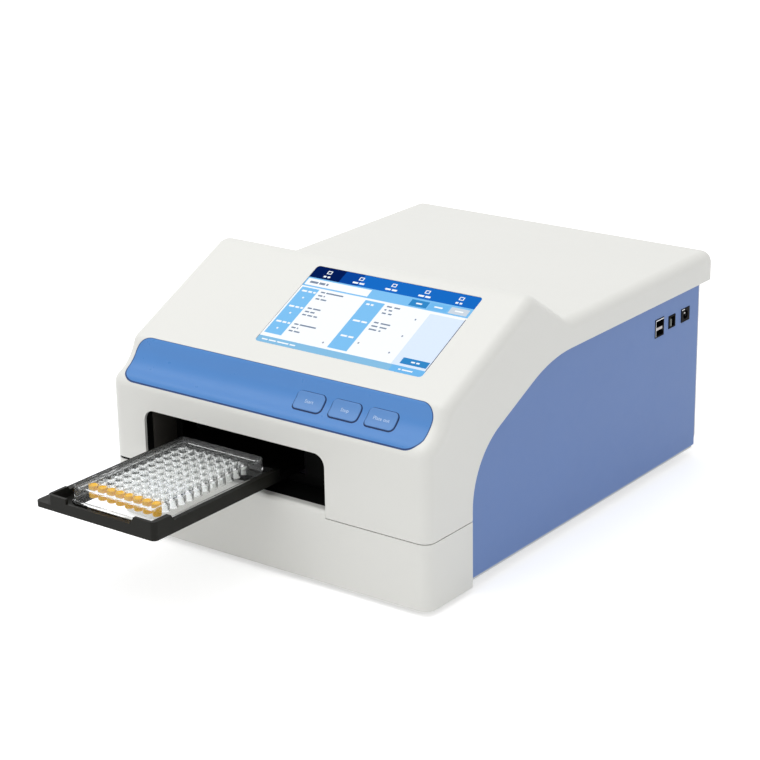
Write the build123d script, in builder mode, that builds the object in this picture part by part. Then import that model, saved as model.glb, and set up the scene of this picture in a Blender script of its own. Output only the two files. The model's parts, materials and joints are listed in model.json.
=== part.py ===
"""Benchtop microplate reader: moulded housing, plate tray drive, optics and electronics.

Millimetres, +Z up. X runs to the right seen from the front and +Y runs to the rear.
The plate tray is drawn out through the mouth, ready to be loaded. The origin is on the
surface under the feet, in the middle plane, midway between tray front and lid rear.
"""
from build123d import *
from math import atan2, cos, radians, sin, tan
import os

os.makedirs("parts", exist_ok=True)

# ---- Casing ----------------------------------------------------------------------------
BODY_W = 312.0          # over the side walls of the housing
BODY_D = 408.0          # front face to rear panel
FOOT_H = 4.0
FOOT_R = 9.0
FOOT_INSET = 32.0
WALL = 2.5              # moulded wall
PANEL_T = 2.0           # side, rear and base panels
EDGE_R = 9.5            # rounding along the long edges of the housing
FIT = 0.3               # gap between neighbouring casing parts

SIDE_X = BODY_W / 2
CASE_Z = FOOT_H         # underside of the casing

SEAM_Z = CASE_Z + 54.5  # parting line, right of the mouth and on the right side
SEAM_STEP = 4.5         # the parting line lies this much higher left of the mouth
SEAM_GAP = 0.8
STEP_GAP = 2.0          # wider, dark gap left of the mouth
SILL_RISE = 5.5         # the sill in the mouth stands above the parting line
SILL_D = 8.0
SILL_R = 3.5

# ---- Side outline of the housing, as depths from the front face and heights ------------
LIP_H = 127.0           # rounded lip under the key channel
LIP_R = 11.0
CHANNEL_IN = 18.1       # deepest line of the concave key channel
CHANNEL_RISE = 9.2      # above the lip
CHANNEL_R = 30.0
BROW_IN = 26.6          # brow above the channel, where the screen slope starts
BROW_RISE = 27.5        # above the lip
BROW_R = 10.5
SCREEN_TILT = 26.3
CREST_IN = 141.5
CREST_R = 14.0
BACK_TILT = 33.0
LID_DROP = 34.3         # the lid lies this far below the crest
LID_RISE = 2.0          # from its front to its rear
SADDLE_R = 25.0
LID_OVERHANG = 21.0
LID_R = 11.0
SKIRT_D = 25.5          # the lid skirt hangs this far below the lid's rear

WING_IN = 58.0          # the white side wing ends here, low down
WING_CORNER_DROP = 50.9 # the wing's lower corner below the lid skirt
WING_TILT = 25.2
WING_R = 63.0
WING_TOP_R = 130.0
LAP = 5.0               # the side panels reach this far behind the wing
PANEL_RISE = 5.8        # lower edge of the side panels above the casing's underside

# ---- Mouth -----------------------------------------------------------------------------
MOUTH_X0 = -121.0
MOUTH_X1 = 61.0
MOUTH_TOP = CASE_Z + LIP_H - 22.0
MOUTH_R = 10.0
LINER_T = 2.0
LINER_D = 37.0          # depth of the black recess behind the front wall
SLOT_CLEAR = 3.0        # round the tray and its plate, in the back of the recess

# ---- Microplate, tray and drive --------------------------------------------------------
PLATE_L = 127.76
PLATE_W = 85.48
PLATE_H = 14.35
PLATE_FLANGE_H = 3.0
PLATE_STEP = 1.4        # the upper body is this much narrower than the flange on each side
PLATE_RECESS = 2.4      # hollow underside
PLATE_CORNER_R = 3.2
PITCH = 9.0
WELL_R = 3.3
WELL_DEPTH = 10.6
WELL_SIDES = 6
ROWS = 8
COLUMNS = 12
LIQUID_H = 8.5
LIQUID_GAP = 0.12

PLATE_X = -43.5         # centre line of the plate
PLATE_OUT = 121.0       # the plate stands this far out of the front face at rest
TRAY_Z = CASE_Z + 69.0
TRAY_T = 4.6
TRAY_GAP_FRONT = 8.5    # round the plate, inside the rim
TRAY_GAP_LEFT = 10.5
TRAY_GAP_RIGHT = 4.9
TRAY_GAP_REAR = 1.5
RIM_T = 2.5
RIGHT_RIM_T = 4.5
LEDGE_W = 13.0
CORNER_H = 14.8         # heights of the rim, above the tray's underside
LEFT_CORNER_H = 12.6
SIDE_H = 10.0
NOTCH_H = 8.6
NOTCH_W = 65.0
NOTCH_X = -47.5         # middle of the notch in the front rim
NOTCH_SLOPE_W = 3.5
CORNER_L = 18.5
CORNER_SLOPE_L = 3.0
CORNER_R = 4.0
WINDOW_MARGIN = 2.5     # the tray carries the plate on this ledge, all round its window
LOCATOR_L = 12.0        # small ribs that hold the plate's place
LOCATOR_T = 1.5
LOCATOR_H = 2.0
LOCATOR_FIT = 0.4
SPRING_IN = 30.0        # plate spring, behind the plate's front edge
SPRING_L = 34.0
SPRING_FOOT_L = 4.0
SPRING_T = 1.0
SPRING_H = 5.0
TRAVEL = 205.0

SHAFT_X = 18.0
SHAFT_R = 4.0
SHAFT_DROP = 8.5        # shaft axis below the tray
SHAFT_START = 41.0      # front end of the shaft, behind the front face
SUPPORT_L = 8.0
SUPPORT_W = 16.0
SLIDER_L = 26.0
SLIDER_W = 24.0
SLIDER_BELOW = 8.5
RUN_CLEAR = 0.05        # running clearance on shafts and axles
END_GAP = 3.0
BELT_X = 52.0
BELT_R = 7.0
BELT_T = 1.5
BELT_W = 6.0
BELT_DROP = 9.0
PULLEY_FLANGE = 1.5
PULLEY_TEETH = 12
AXLE_R = 2.0
MOTOR_W = 42.0
MOTOR_H = 34.0
BRACKET_T = 2.0

TRAY_OUT = PLATE_OUT + TRAY_GAP_FRONT + RIM_T
FRONT_Y = (TRAY_OUT - BODY_D - LID_OVERHANG) / 2

# ---- Screen and keys -------------------------------------------------------------------
SCREEN_W = 160.0
SCREEN_L = 91.5
SCREEN_X = 37.5
SCREEN_FROM_BROW = 22.5
SCREEN_R = 3.0
GLASS_SINK = 0.3
GLASS_FIT = 0.25
LCD_T = 6.0
LCD_MARGIN = 5.0
STRIP_W = 292.0
STRIP_L = 40.0
STRIP_R = 13.0
STRIP_T = 1.2
STRIP_FIT = 0.15
KEY_W = 30.0
KEY_L = 16.0
KEY_R = 4.0
KEY_PITCH = 34.0
KEY_X = 71.0
KEY_FIT = 0.35
KEY_PROUD = 0.7
KEY_TRAVEL = 0.8
KEY_T = 2.4
STEM_R = 2.5
STEM_L = 7.0
SWITCH_W = 6.0
SWITCH_H = 3.5
BOARD_T = 1.6

# ---- Ports on the right side, as depths from the front face and heights ----------------
PORT_H = 131.5
USB_IN = BODY_D - 69.0
USB_W = 14.0
USB_H = 15.6
DATA_IN = BODY_D - 48.0
DATA_W = 11.0
DATA_H = 10.8
DC_IN = BODY_D - 25.0
DC_W = 14.0
DC_H = 11.5
PORT_D = 14.0
PORT_FIT = 0.4

# ---- Inside: optics, electronics and cooling -------------------------------------------
BRIDGE_IN = 62.0        # measuring bridge over the tray, behind the recess
BRIDGE_L = 20.0
BRIDGE_T = 6.0
BRIDGE_LEG_T = 3.0
BRIDGE_GAP = 9.0        # between the legs and what runs between them
BRIDGE_FOOT_L = 12.0
STAND_T = 4.0
STAND_INSET = 5.0
BRIDGE_CLEAR = 6.0      # above the plate
LENS_PITCH_R = 2.4
LENS_BAR_T = 2.5
DETECTOR_DROP = 8.0     # detector board below the tray
DECK_Z = CASE_Z + 106.0
DECK_T = 2.5
DECK_X0 = -140.0
DECK_X1 = 92.0
DECK_IN0 = 104.0
DECK_IN1 = BODY_D - 22.0
DECK_POST_R = 4.0
DECK_POST_INSET = 8.0
WHEEL_X = -40.0
WHEEL_IN = BODY_D - 144.0
WHEEL_R = 28.0
WHEEL_T = 5.0
WHEEL_RISE = 33.0       # wheel axis above the deck
FILTER_R = 6.0
FILTER_PCD_R = 20.0
FILTERS = 8
FILTER_MOTOR_R = 11.0
FILTER_MOTOR_L = 22.0
LENS_R = 7.0
LENS_L = 26.0
LAMP_W = 46.0
LAMP_L = 44.0
LAMP_H = 54.0
LAMP_GAP = 30.0
FINS = 6
FIN_H = 12.0
GUIDE_R = 4.0
GUIDE_BEND = 26.0
FAN_W = 60.0
FAN_D = 15.0
FAN_X = -85.0
FAN_H = 88.0
FAN_BLADES = 7
FAN_SPOKE = 3.5
FAN_HUB_R = 12.0
FAN_BLADE_L = 15.0
FAN_BLADE_T = 1.8
FAN_BLADE_TURN = 25
VENT_L = 52.0
VENT_W = 3.0
VENT_PITCH = 9.0
VENTS = 5
SCREW_HEAD_R = 3.6
SCREW_HEAD_H = 2.2
SCREW_INSET = 14.0
BOARD_IN = 80.0         # main board, on standoffs over the base
BOARD_L = 220.0
BOARD_INSET = 12.0
STANDOFF_H = 8.0
STANDOFF_R = 3.0
CHIP_L = 18.0
COMPONENTS = ((0.08, 4.0), (0.28, 12.0), (0.46, 6.0), (0.66, 16.0), (0.84, 9.0))
PORT_PROUD = 0.5        # the sockets stand this far out of the side panel
PORT_BOARD_W = 34.0
PORT_MARGIN = 12.0
PORT_EDGE = 1.2
DC_HOLE_R = 4.0
DC_PIN_R = 1.0
SOCKET_D = 9.0

KEY_NAMES = ("start_key", "stop_key", "plate_key")
BOSS_R = 3.5


def height(h):
    """Height above the casing's underside, as a Z value."""
    return CASE_Z + h


def depth(d):
    """Depth behind the front face, as a Y value."""
    return FRONT_Y + d


def save(part, name):
    """Label a finished piece and write it as its own file."""
    part.label = name
    export_step(part, f"parts/{name}.step")


def block(x0, x1, y0, y1, z0, z1, mode=Mode.ADD):
    """A plain block between two corners, added to or cut from the part being made."""
    with Locations(((x0 + x1) / 2, (y0 + y1) / 2, (z0 + z1) / 2)):
        Box(x1 - x0, y1 - y0, z1 - z0, mode=mode)


def post(x, y, z0, z1, radius, mode=Mode.ADD):
    """An upright round post, or with Mode.SUBTRACT a round hole."""
    with Locations((x, y, (z0 + z1) / 2)):
        Cylinder(radius, z1 - z0, mode=mode)


# ---- Housing outlines ------------------------------------------------------------------
brow_h = LIP_H + BROW_RISE
crest_h = brow_h + (CREST_IN - BROW_IN) * tan(radians(SCREEN_TILT))
lid_h = crest_h - LID_DROP
skirt_h = lid_h + LID_RISE - SKIRT_D
wing_corner_h = skirt_h - WING_CORNER_DROP
saddle_in = CREST_IN + LID_DROP / tan(radians(BACK_TILT))
lid_rear_in = BODY_D + LID_OVERHANG
wing_top_in = WING_IN + WING_CORNER_DROP / tan(radians(WING_TILT))

lip = (depth(0), height(LIP_H))
channel = (depth(CHANNEL_IN), height(LIP_H + CHANNEL_RISE))
brow = (depth(BROW_IN), height(brow_h))
crest = (depth(CREST_IN), height(crest_h))
saddle = (depth(saddle_in), height(lid_h))
lid_rear = (depth(lid_rear_in), height(lid_h + LID_RISE))
top_corners = [
    (lip, LIP_R),
    (channel, CHANNEL_R),
    (brow, BROW_R),
    (crest, CREST_R),
    (saddle, SADDLE_R),
    (lid_rear, LID_R),
]
wing_low = (depth(WING_IN), height(wing_corner_h))
wing_top = (depth(wing_top_in), height(skirt_h))


def rounded_outline(points, corners):
    """A closed face through the points, with the listed corners rounded."""
    with BuildSketch() as flat:
        with BuildLine():
            Polyline(*points, close=True)
        make_face()
        for place, radius in corners:
            fillet(flat.vertices().sort_by_distance(place)[0], radius)
    return flat.sketch


top_points = [place for place, radius in top_corners]
shell_outline = rounded_outline(
    [(depth(0), SEAM_Z)]
    + top_points
    + [(depth(lid_rear_in), height(skirt_h)), wing_top, wing_low, (depth(WING_IN), SEAM_Z)],
    top_corners + [(wing_low, WING_R), (wing_top, WING_TOP_R)],
)
solid_outline = rounded_outline(
    [(depth(0), CASE_Z - EDGE_R)] + top_points + [(depth(lid_rear_in), CASE_Z - EDGE_R)],
    top_corners,
)
inner_outline = offset(solid_outline, amount=-WALL)


def prism(outline, width):
    """A side outline drawn out to both sides of the middle plane."""
    with BuildPart() as drawn:
        with BuildSketch(Plane.YZ):
            add(outline)
        extrude(amount=width / 2, both=True)
    return drawn.part


def long_edges(part, side_x, lowest):
    """Edges round the top, front and rear of both sides of a drawn outline."""
    found = ShapeList()
    for face in part.faces().filter_by(Axis.X):
        if abs(abs(face.center().X) - side_x) > 0.01:
            continue
        for edge in face.edges():
            middle = edge @ 0.5
            under_wing = middle.Y > depth(WING_IN) - FIT and middle.Z < lowest
            flat_bottom = abs((edge @ 0).Z - (edge @ 1).Z) < FIT and middle.Z < SEAM_Z + FIT
            if not under_wing and not flat_bottom:
                found.append(edge)
    return found


cavity_x = SIDE_X - WALL
with BuildPart() as cavity:
    add(prism(inner_outline, 2 * cavity_x))
    chamfer(long_edges(cavity.part, cavity_x, 0), (EDGE_R - WALL) / 2)

# Planes of the sloping screen panel and of the key channel's mouth.
slope = radians(SCREEN_TILT)
screen_plane = Plane(
    origin=(0, *brow), x_dir=(1, 0, 0), z_dir=(0, -sin(slope), cos(slope))
)
chord = atan2(BROW_RISE, BROW_IN)
strip_middle = ((lip[0] + brow[0]) / 2, (lip[1] + brow[1]) / 2)
strip_plane = Plane(
    origin=(0, *strip_middle), x_dir=(1, 0, 0), z_dir=(0, -sin(chord), cos(chord))
)
screen_centre = (SCREEN_X, SCREEN_FROM_BROW + SCREEN_L / 2)
key_places = [(KEY_X + step * KEY_PITCH, -1.0) for step in (-1, 0, 1)]
REACH = 20.0            # window prisms run this far to both sides of their plane


def window(plane, centre, width, length, radius, grow=0.0):
    """A round-cornered prism through the shell, square to a plane."""
    with BuildPart() as through:
        with BuildSketch(plane):
            with Locations(centre):
                RectangleRounded(width + 2 * grow, length + 2 * grow, radius + grow)
        extrude(amount=REACH, both=True)
    return through.part


def skin(proud, sunk):
    """A curved slab that follows the housing's outside, between two offsets from it."""
    outer = offset(solid_outline, amount=proud) if proud else solid_outline
    inner = offset(solid_outline, amount=-sunk)
    with BuildPart() as slab:
        with BuildSketch(Plane.YZ):
            add(outer)
            add(inner, mode=Mode.SUBTRACT)
        extrude(amount=SIDE_X, both=True)
    return slab.part


# ---- Windows, holes and pockets of the front ------------------------------------------
board_drop = KEY_T + STEM_L + KEY_TRAVEL + 0.1 + SWITCH_H
boss_reach = 2 * KEY_PITCH - BOSS_R - 2
boss_places = [(KEY_X + side * boss_reach, -1.0) for side in (-1, 1)]
key_windows = [window(strip_plane, place, KEY_W, KEY_L, KEY_R) for place in key_places]
key_holes = [
    window(strip_plane, place, KEY_W, KEY_L, KEY_R, KEY_FIT) for place in key_places
]
housing_holes = []
for place in key_places:
    with BuildPart() as housing_hole:
        with BuildSketch(strip_plane):
            with Locations(place):
                Rectangle(KEY_W + 2 * KEY_FIT, KEY_L + 2 * KEY_FIT)
        extrude(amount=REACH, both=True)
    housing_holes.append(housing_hole.part)
screen_hole = window(screen_plane, screen_centre, SCREEN_W, SCREEN_L, SCREEN_R, GLASS_FIT)
step_z = SEAM_Z + SEAM_STEP
sill_z = SEAM_Z + SILL_RISE

strip_window = window(strip_plane, (0, 0), STRIP_W, STRIP_L, STRIP_R)
pocket_window = window(strip_plane, (0, 0), STRIP_W, STRIP_L, STRIP_R, STRIP_FIT)
pocket_skin = skin(KEY_PROUD, STRIP_T)
strip_skin = skin(0.0, STRIP_T)
key_skin = skin(KEY_PROUD, KEY_T)

with BuildPart() as strip_pocket:
    add(pocket_skin)
    add(pocket_window, mode=Mode.INTERSECT)

with BuildPart() as bosses:
    with BuildSketch(strip_plane.offset(-board_drop)):
        with Locations(*boss_places):
            RegularPolygon(BOSS_R, 6)
    extrude(amount=board_drop + REACH)
    add(cavity.part, mode=Mode.INTERSECT)

# ---- Upper housing: one moulded shell for front, screen slope, crest and lid -----------
with BuildPart() as upper_housing:
    add(prism(shell_outline, BODY_W))
    fillet(long_edges(upper_housing.part, SIDE_X, height(skirt_h) + FIT), EDGE_R)
    add(cavity.part, mode=Mode.SUBTRACT)
    with BuildSketch(Plane.XZ.offset(-FRONT_Y)):
        with Locations(((MOUTH_X0 + MOUTH_X1) / 2, MOUTH_TOP - LINER_D)):
            RectangleRounded(MOUTH_X1 - MOUTH_X0, 2 * LINER_D, MOUTH_R)
    extrude(amount=EDGE_R, both=True, mode=Mode.SUBTRACT)
    block(-SIDE_X, MOUTH_X0, FRONT_Y, depth(WING_IN), SEAM_Z, step_z, Mode.SUBTRACT)
    add(strip_pocket.part, mode=Mode.SUBTRACT)
    add(bosses.part)
    for hole in housing_holes + [screen_hole]:
        add(hole, mode=Mode.SUBTRACT)
save(upper_housing.part, "upper_housing")

with BuildPart() as key_strip:
    add(strip_skin)
    add(strip_window, mode=Mode.INTERSECT)
    for hole in key_holes:
        add(hole, mode=Mode.SUBTRACT)
save(key_strip.part, "key_strip")

for name, cap, place in zip(KEY_NAMES, key_windows, key_places):
    with BuildPart() as key:
        add(key_skin)
        add(cap, mode=Mode.INTERSECT)
        with BuildSketch(strip_plane.offset(-KEY_T - STEM_L)):
            with Locations(place):
                RegularPolygon(STEM_R, 6)
        extrude(amount=STEM_L + KEY_T / 2)
    save(key.part, name)

with BuildPart() as key_board:
    with BuildSketch(strip_plane.offset(-board_drop)):
        with Locations((KEY_X, -1.0)):
            Rectangle(4 * KEY_PITCH, KEY_L)
    extrude(amount=-BOARD_T)
save(key_board.part, "key_board")

with BuildPart() as key_switches:
    with BuildSketch(strip_plane.offset(-board_drop)):
        with Locations(*key_places):
            Rectangle(SWITCH_W, SWITCH_W)
    extrude(amount=SWITCH_H)
save(key_switches.part, "key_switches")

# ---- Screen ----------------------------------------------------------------------------
with BuildPart() as touch_glass:
    with BuildSketch(screen_plane.offset(-WALL)):
        with Locations(screen_centre):
            RectangleRounded(SCREEN_W, SCREEN_L, SCREEN_R)
    extrude(amount=WALL - GLASS_SINK)
save(touch_glass.part, "touch_glass")

with BuildPart() as lcd_module:
    with BuildSketch(screen_plane.offset(-WALL)):
        with Locations(screen_centre):
            Rectangle(SCREEN_W + 2 * LCD_MARGIN, SCREEN_L + 2 * LCD_MARGIN)
    extrude(amount=-LCD_T)
save(lcd_module.part, "lcd_module")

with BuildPart() as lcd_bracket:
    with BuildSketch(screen_plane.offset(-WALL - LCD_T)):
        with Locations(screen_centre):
            Rectangle(SCREEN_W + 2 * LCD_MARGIN, SCREEN_L / 2)
            Rectangle(SCREEN_W - 4 * LCD_MARGIN, SCREEN_L / 2 - 4 * LCD_MARGIN,
                      mode=Mode.SUBTRACT)
    extrude(amount=-PANEL_T)
save(lcd_bracket.part, "lcd_bracket")

# ---- Lower casing, base, side and rear panels ------------------------------------------
casing_top = SEAM_Z - SEAM_GAP
with BuildPart() as lower_casing:
    with BuildSketch(Plane.XY.offset(CASE_Z)) as apron:
        with Locations((0, depth(WING_IN / 2))):
            Rectangle(BODY_W, WING_IN)
        fillet(apron.vertices().group_by(Axis.Y)[0], EDGE_R)
    extrude(amount=casing_top - CASE_Z)
    with BuildSketch(Plane.XY.offset(casing_top)) as left_rise:
        with Locations(((MOUTH_X0 - SIDE_X) / 2, depth(WING_IN / 2))):
            Rectangle(MOUTH_X0 + SIDE_X, WING_IN)
        fillet(left_rise.vertices().group_by(Axis.Y)[0].sort_by(Axis.X)[0], EDGE_R)
    extrude(amount=step_z - STEP_GAP - casing_top)
    with BuildSketch(Plane.XY.offset(CASE_Z + WALL)) as hollow:
        with Locations((0, depth(WING_IN / 2 + WALL))):
            Rectangle(BODY_W - 2 * WALL, WING_IN)
        fillet(hollow.vertices().group_by(Axis.Y)[0], EDGE_R - WALL)
    extrude(amount=sill_z, mode=Mode.SUBTRACT)
    block(MOUTH_X0 + FIT, MOUTH_X1 - FIT, depth(0), depth(SILL_D), sill_z - SILL_D, sill_z)
    sill_edge = lower_casing.edges().filter_by(Axis.X).group_by(Axis.Z)[-1].sort_by(Axis.Y)
    fillet(sill_edge[0], SILL_R)
save(lower_casing.part, "lower_casing")

base_z = CASE_Z + WALL
floor_z = base_z + PANEL_T
inner_x = SIDE_X - WALL - PANEL_T
with BuildPart() as base_plate:
    block(-inner_x, inner_x, depth(WALL + FIT + EDGE_R), depth(BODY_D - PANEL_T), base_z, floor_z)
    for side in (-1, 1):
        rim_x = side * (inner_x - PANEL_T / 2)
        block(rim_x - PANEL_T / 2, rim_x + PANEL_T / 2, depth(WING_IN), depth(BODY_D - PANEL_T),
              base_z, floor_z + 10)
save(base_plate.part, "base_plate")

panel_outline = rounded_outline(
    [
        (depth(WING_IN + FIT), height(PANEL_RISE)),
        (depth(WING_IN + FIT) - LAP, SEAM_Z),
        (depth(WING_IN + FIT) - LAP, height(wing_corner_h)),
        (depth(wing_top_in), height(skirt_h) + LAP),
        (depth(BODY_D - PANEL_T), height(skirt_h) + LAP),
        (depth(BODY_D - PANEL_T), height(PANEL_RISE)),
    ],
    [((depth(WING_IN + FIT) - LAP, height(wing_corner_h)), WING_R + LAP)],
)


def side_panel(side):
    """A flat blue side panel, lapped behind the wing and the skirt."""
    outer = side * (SIDE_X - WALL)
    with BuildPart() as panel:
        with BuildSketch(Plane.YZ.offset(outer)):
            add(panel_outline)
        extrude(amount=-side * PANEL_T)
    return panel.part


save(side_panel(-1), "side_panel_left")

ports = [(USB_IN, USB_W, USB_H), (DATA_IN, DATA_W, DATA_H), (DC_IN, DC_W, DC_H)]
with BuildPart() as side_panel_right:
    add(side_panel(1))
    for port_in, width, tall in ports:
        half_w = width / 2 + PORT_FIT
        half_h = tall / 2 + PORT_FIT
        block(SIDE_X - 4 * WALL, SIDE_X, depth(port_in) - half_w, depth(port_in) + half_w,
              height(PORT_H) - half_h, height(PORT_H) + half_h, Mode.SUBTRACT)
save(side_panel_right.part, "side_panel_right")

fan_z = height(FAN_H)
with BuildPart() as rear_panel:
    rear_top = height(lid_h - WALL) - FIT
    with BuildSketch(Plane.XZ.offset(-depth(BODY_D))) as sheet:
        with Locations((0, (height(PANEL_RISE) + rear_top) / 2)):
            Rectangle(2 * (SIDE_X - WALL) - 2 * FIT, rear_top - height(PANEL_RISE))
        fillet(sheet.vertices().group_by(Axis.Z)[-1], EDGE_R)
    extrude(amount=PANEL_T)
    with BuildSketch(Plane.XZ.offset(-depth(BODY_D))):
        with Locations((FAN_X, fan_z)):
            with GridLocations(0, VENT_PITCH, 1, VENTS):
                Rectangle(VENT_L, VENT_W)
        with Locations((-FAN_X, fan_z)):
            with GridLocations(0, VENT_PITCH, 1, VENTS):
                Rectangle(VENT_L, VENT_W)
    extrude(amount=2 * PANEL_T, both=True, mode=Mode.SUBTRACT)
save(rear_panel.part, "rear_panel")

with BuildPart() as feet:
    with BuildSketch():
        with Locations((0, depth(BODY_D / 2))):
            with GridLocations(BODY_W - 2 * FOOT_INSET, BODY_D - 2 * FOOT_INSET, 2, 2):
                RegularPolygon(FOOT_R, 12)
    extrude(amount=FOOT_H)
    rear_feet = feet.faces().group_by(Axis.Z)[-1].group_by(Axis.Y)[-1]
    extrude(rear_feet, amount=base_z - FOOT_H)
save(feet.part, "feet")

# ---- Black recess behind the mouth, with the slot that the tray runs through ----------
tray_x0 = PLATE_X - PLATE_W / 2 - TRAY_GAP_LEFT - RIM_T - LEDGE_W
tray_x1 = PLATE_X + PLATE_W / 2 + TRAY_GAP_RIGHT + RIGHT_RIM_T
plate_y0 = depth(-PLATE_OUT)
plate_y1 = plate_y0 + PLATE_L
tray_y0 = plate_y0 - TRAY_GAP_FRONT - RIM_T
tray_top = TRAY_Z + TRAY_T
plate_top = tray_top + PLATE_H
liner_y0 = depth(WALL + FIT)
liner_y1 = depth(WALL + LINER_D)
liner_z0 = sill_z - 1.0
with BuildPart() as mouth_liner:
    block(MOUTH_X0 - LINER_T, MOUTH_X1 + LINER_T, liner_y0, liner_y1,
          liner_z0 - LINER_T, MOUTH_TOP + LINER_T)
    block(MOUTH_X0, MOUTH_X1, liner_y0 - 1, liner_y1 - LINER_T, liner_z0, MOUTH_TOP,
          Mode.SUBTRACT)
    block(MOUTH_X0 - 2 * LINER_T, MOUTH_X1 + 2 * LINER_T, liner_y0 - 1, depth(SILL_D) + FIT,
          liner_z0 - 2 * LINER_T, sill_z + FIT, Mode.SUBTRACT)
    block(tray_x0 - SLOT_CLEAR, tray_x1 + SLOT_CLEAR, liner_y0, liner_y1 + 1,
          TRAY_Z - SLOT_CLEAR, plate_top + SLOT_CLEAR, Mode.SUBTRACT)
save(mouth_liner.part, "mouth_liner")

# ---- Plate tray: open frame with corner stops, side ledge and drive arm ----------------
arm_y1 = depth(SHAFT_START + SUPPORT_L + END_GAP + SLIDER_L)
arm_y0 = arm_y1 - SLIDER_L
clamp_x = BELT_X - BELT_R
plate_x0 = PLATE_X - PLATE_W / 2
plate_x1 = PLATE_X + PLATE_W / 2
rim_x0 = tray_x0 + LEDGE_W
rim_y1 = plate_y1 + TRAY_GAP_REAR + RIM_T
rim_cut_z = TRAY_Z + 2 * CORNER_H
rim_outline = [
    (tray_y0, TRAY_Z),
    (tray_y0, TRAY_Z + CORNER_H),
    (tray_y0 + CORNER_L, TRAY_Z + CORNER_H),
    (tray_y0 + CORNER_L + CORNER_SLOPE_L, TRAY_Z + SIDE_H),
    (rim_y1, TRAY_Z + SIDE_H),
    (rim_y1, TRAY_Z),
]
with BuildPart() as plate_tray:
    block(tray_x0, tray_x1, tray_y0, arm_y1, TRAY_Z, tray_top)
    block(tray_x1, clamp_x + BELT_R / 2, arm_y0, arm_y1, TRAY_Z, tray_top)
    with BuildSketch(Plane.YZ.offset(rim_x0)):
        with BuildLine():
            Polyline(*rim_outline, close=True)
        make_face()
    extrude(amount=tray_x1 - rim_x0)
    corner_edges = plate_tray.edges().filter_by(Axis.Z).group_by(Axis.Y)[0]
    fillet(corner_edges, CORNER_R)
    block(rim_x0 + RIM_T, tray_x1 - RIGHT_RIM_T, tray_y0 + RIM_T, plate_y1 + TRAY_GAP_REAR,
          tray_top, rim_cut_z, Mode.SUBTRACT)
    block(rim_x0, NOTCH_X, tray_y0, tray_y0 + 2 * CORNER_L, TRAY_Z + LEFT_CORNER_H, rim_cut_z,
          Mode.SUBTRACT)
    with BuildSketch(Plane.XZ.offset(-tray_y0)) as notch:
        with BuildLine():
            Polyline(
                (NOTCH_X - NOTCH_W / 2, TRAY_Z + NOTCH_H),
                (NOTCH_X + NOTCH_W / 2, TRAY_Z + NOTCH_H),
                (NOTCH_X + NOTCH_W / 2 + NOTCH_SLOPE_W, TRAY_Z + CORNER_H),
                (NOTCH_X + NOTCH_W / 2 + NOTCH_SLOPE_W, rim_cut_z),
                (NOTCH_X - NOTCH_W / 2, rim_cut_z),
                close=True,
            )
        make_face()
    extrude(amount=-2 * RIM_T, mode=Mode.SUBTRACT)
    block(plate_x0 + WINDOW_MARGIN, plate_x1 - WINDOW_MARGIN, plate_y0 + WINDOW_MARGIN,
          plate_y1 - WINDOW_MARGIN, TRAY_Z - 1, tray_top + 1, Mode.SUBTRACT)
    for rib_y in (plate_y0 + 2 * LOCATOR_L, plate_y1 - 2 * LOCATOR_L):
        block(plate_x1 + LOCATOR_FIT, plate_x1 + LOCATOR_FIT + LOCATOR_T, rib_y - LOCATOR_L / 2,
              rib_y + LOCATOR_L / 2, tray_top, tray_top + LOCATOR_H)
    for rib_x in (plate_x0 + LOCATOR_L, plate_x1 - LOCATOR_L):
        block(rib_x - LOCATOR_L / 2, rib_x + LOCATOR_L / 2, plate_y0 - LOCATOR_FIT - LOCATOR_T,
              plate_y0 - LOCATOR_FIT, tray_top, tray_top + LOCATOR_H)
save(plate_tray.part, "plate_tray")

spring_x = plate_x0 - FIT
rim_x = rim_x0 + RIM_T
spring_y0 = plate_y0 + SPRING_IN
spring_y1 = spring_y0 + SPRING_L
spring_y = (spring_y0 + spring_y1) / 2
with BuildPart() as plate_spring:
    with BuildSketch(Plane.XY.offset(tray_top)):
        with BuildLine():
            Polyline(
                (rim_x, spring_y0),
                (rim_x + SPRING_T, spring_y0),
                (spring_x, spring_y - SPRING_FOOT_L / 2),
                (spring_x, spring_y + SPRING_FOOT_L / 2),
                (rim_x + SPRING_T, spring_y1),
                (rim_x, spring_y1),
                (rim_x, spring_y1 - SPRING_FOOT_L),
                (spring_x - SPRING_T, spring_y),
                (rim_x, spring_y0 + SPRING_FOOT_L),
                close=True,
            )
        make_face()
    extrude(amount=SPRING_H)
save(plate_spring.part, "plate_spring")

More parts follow.
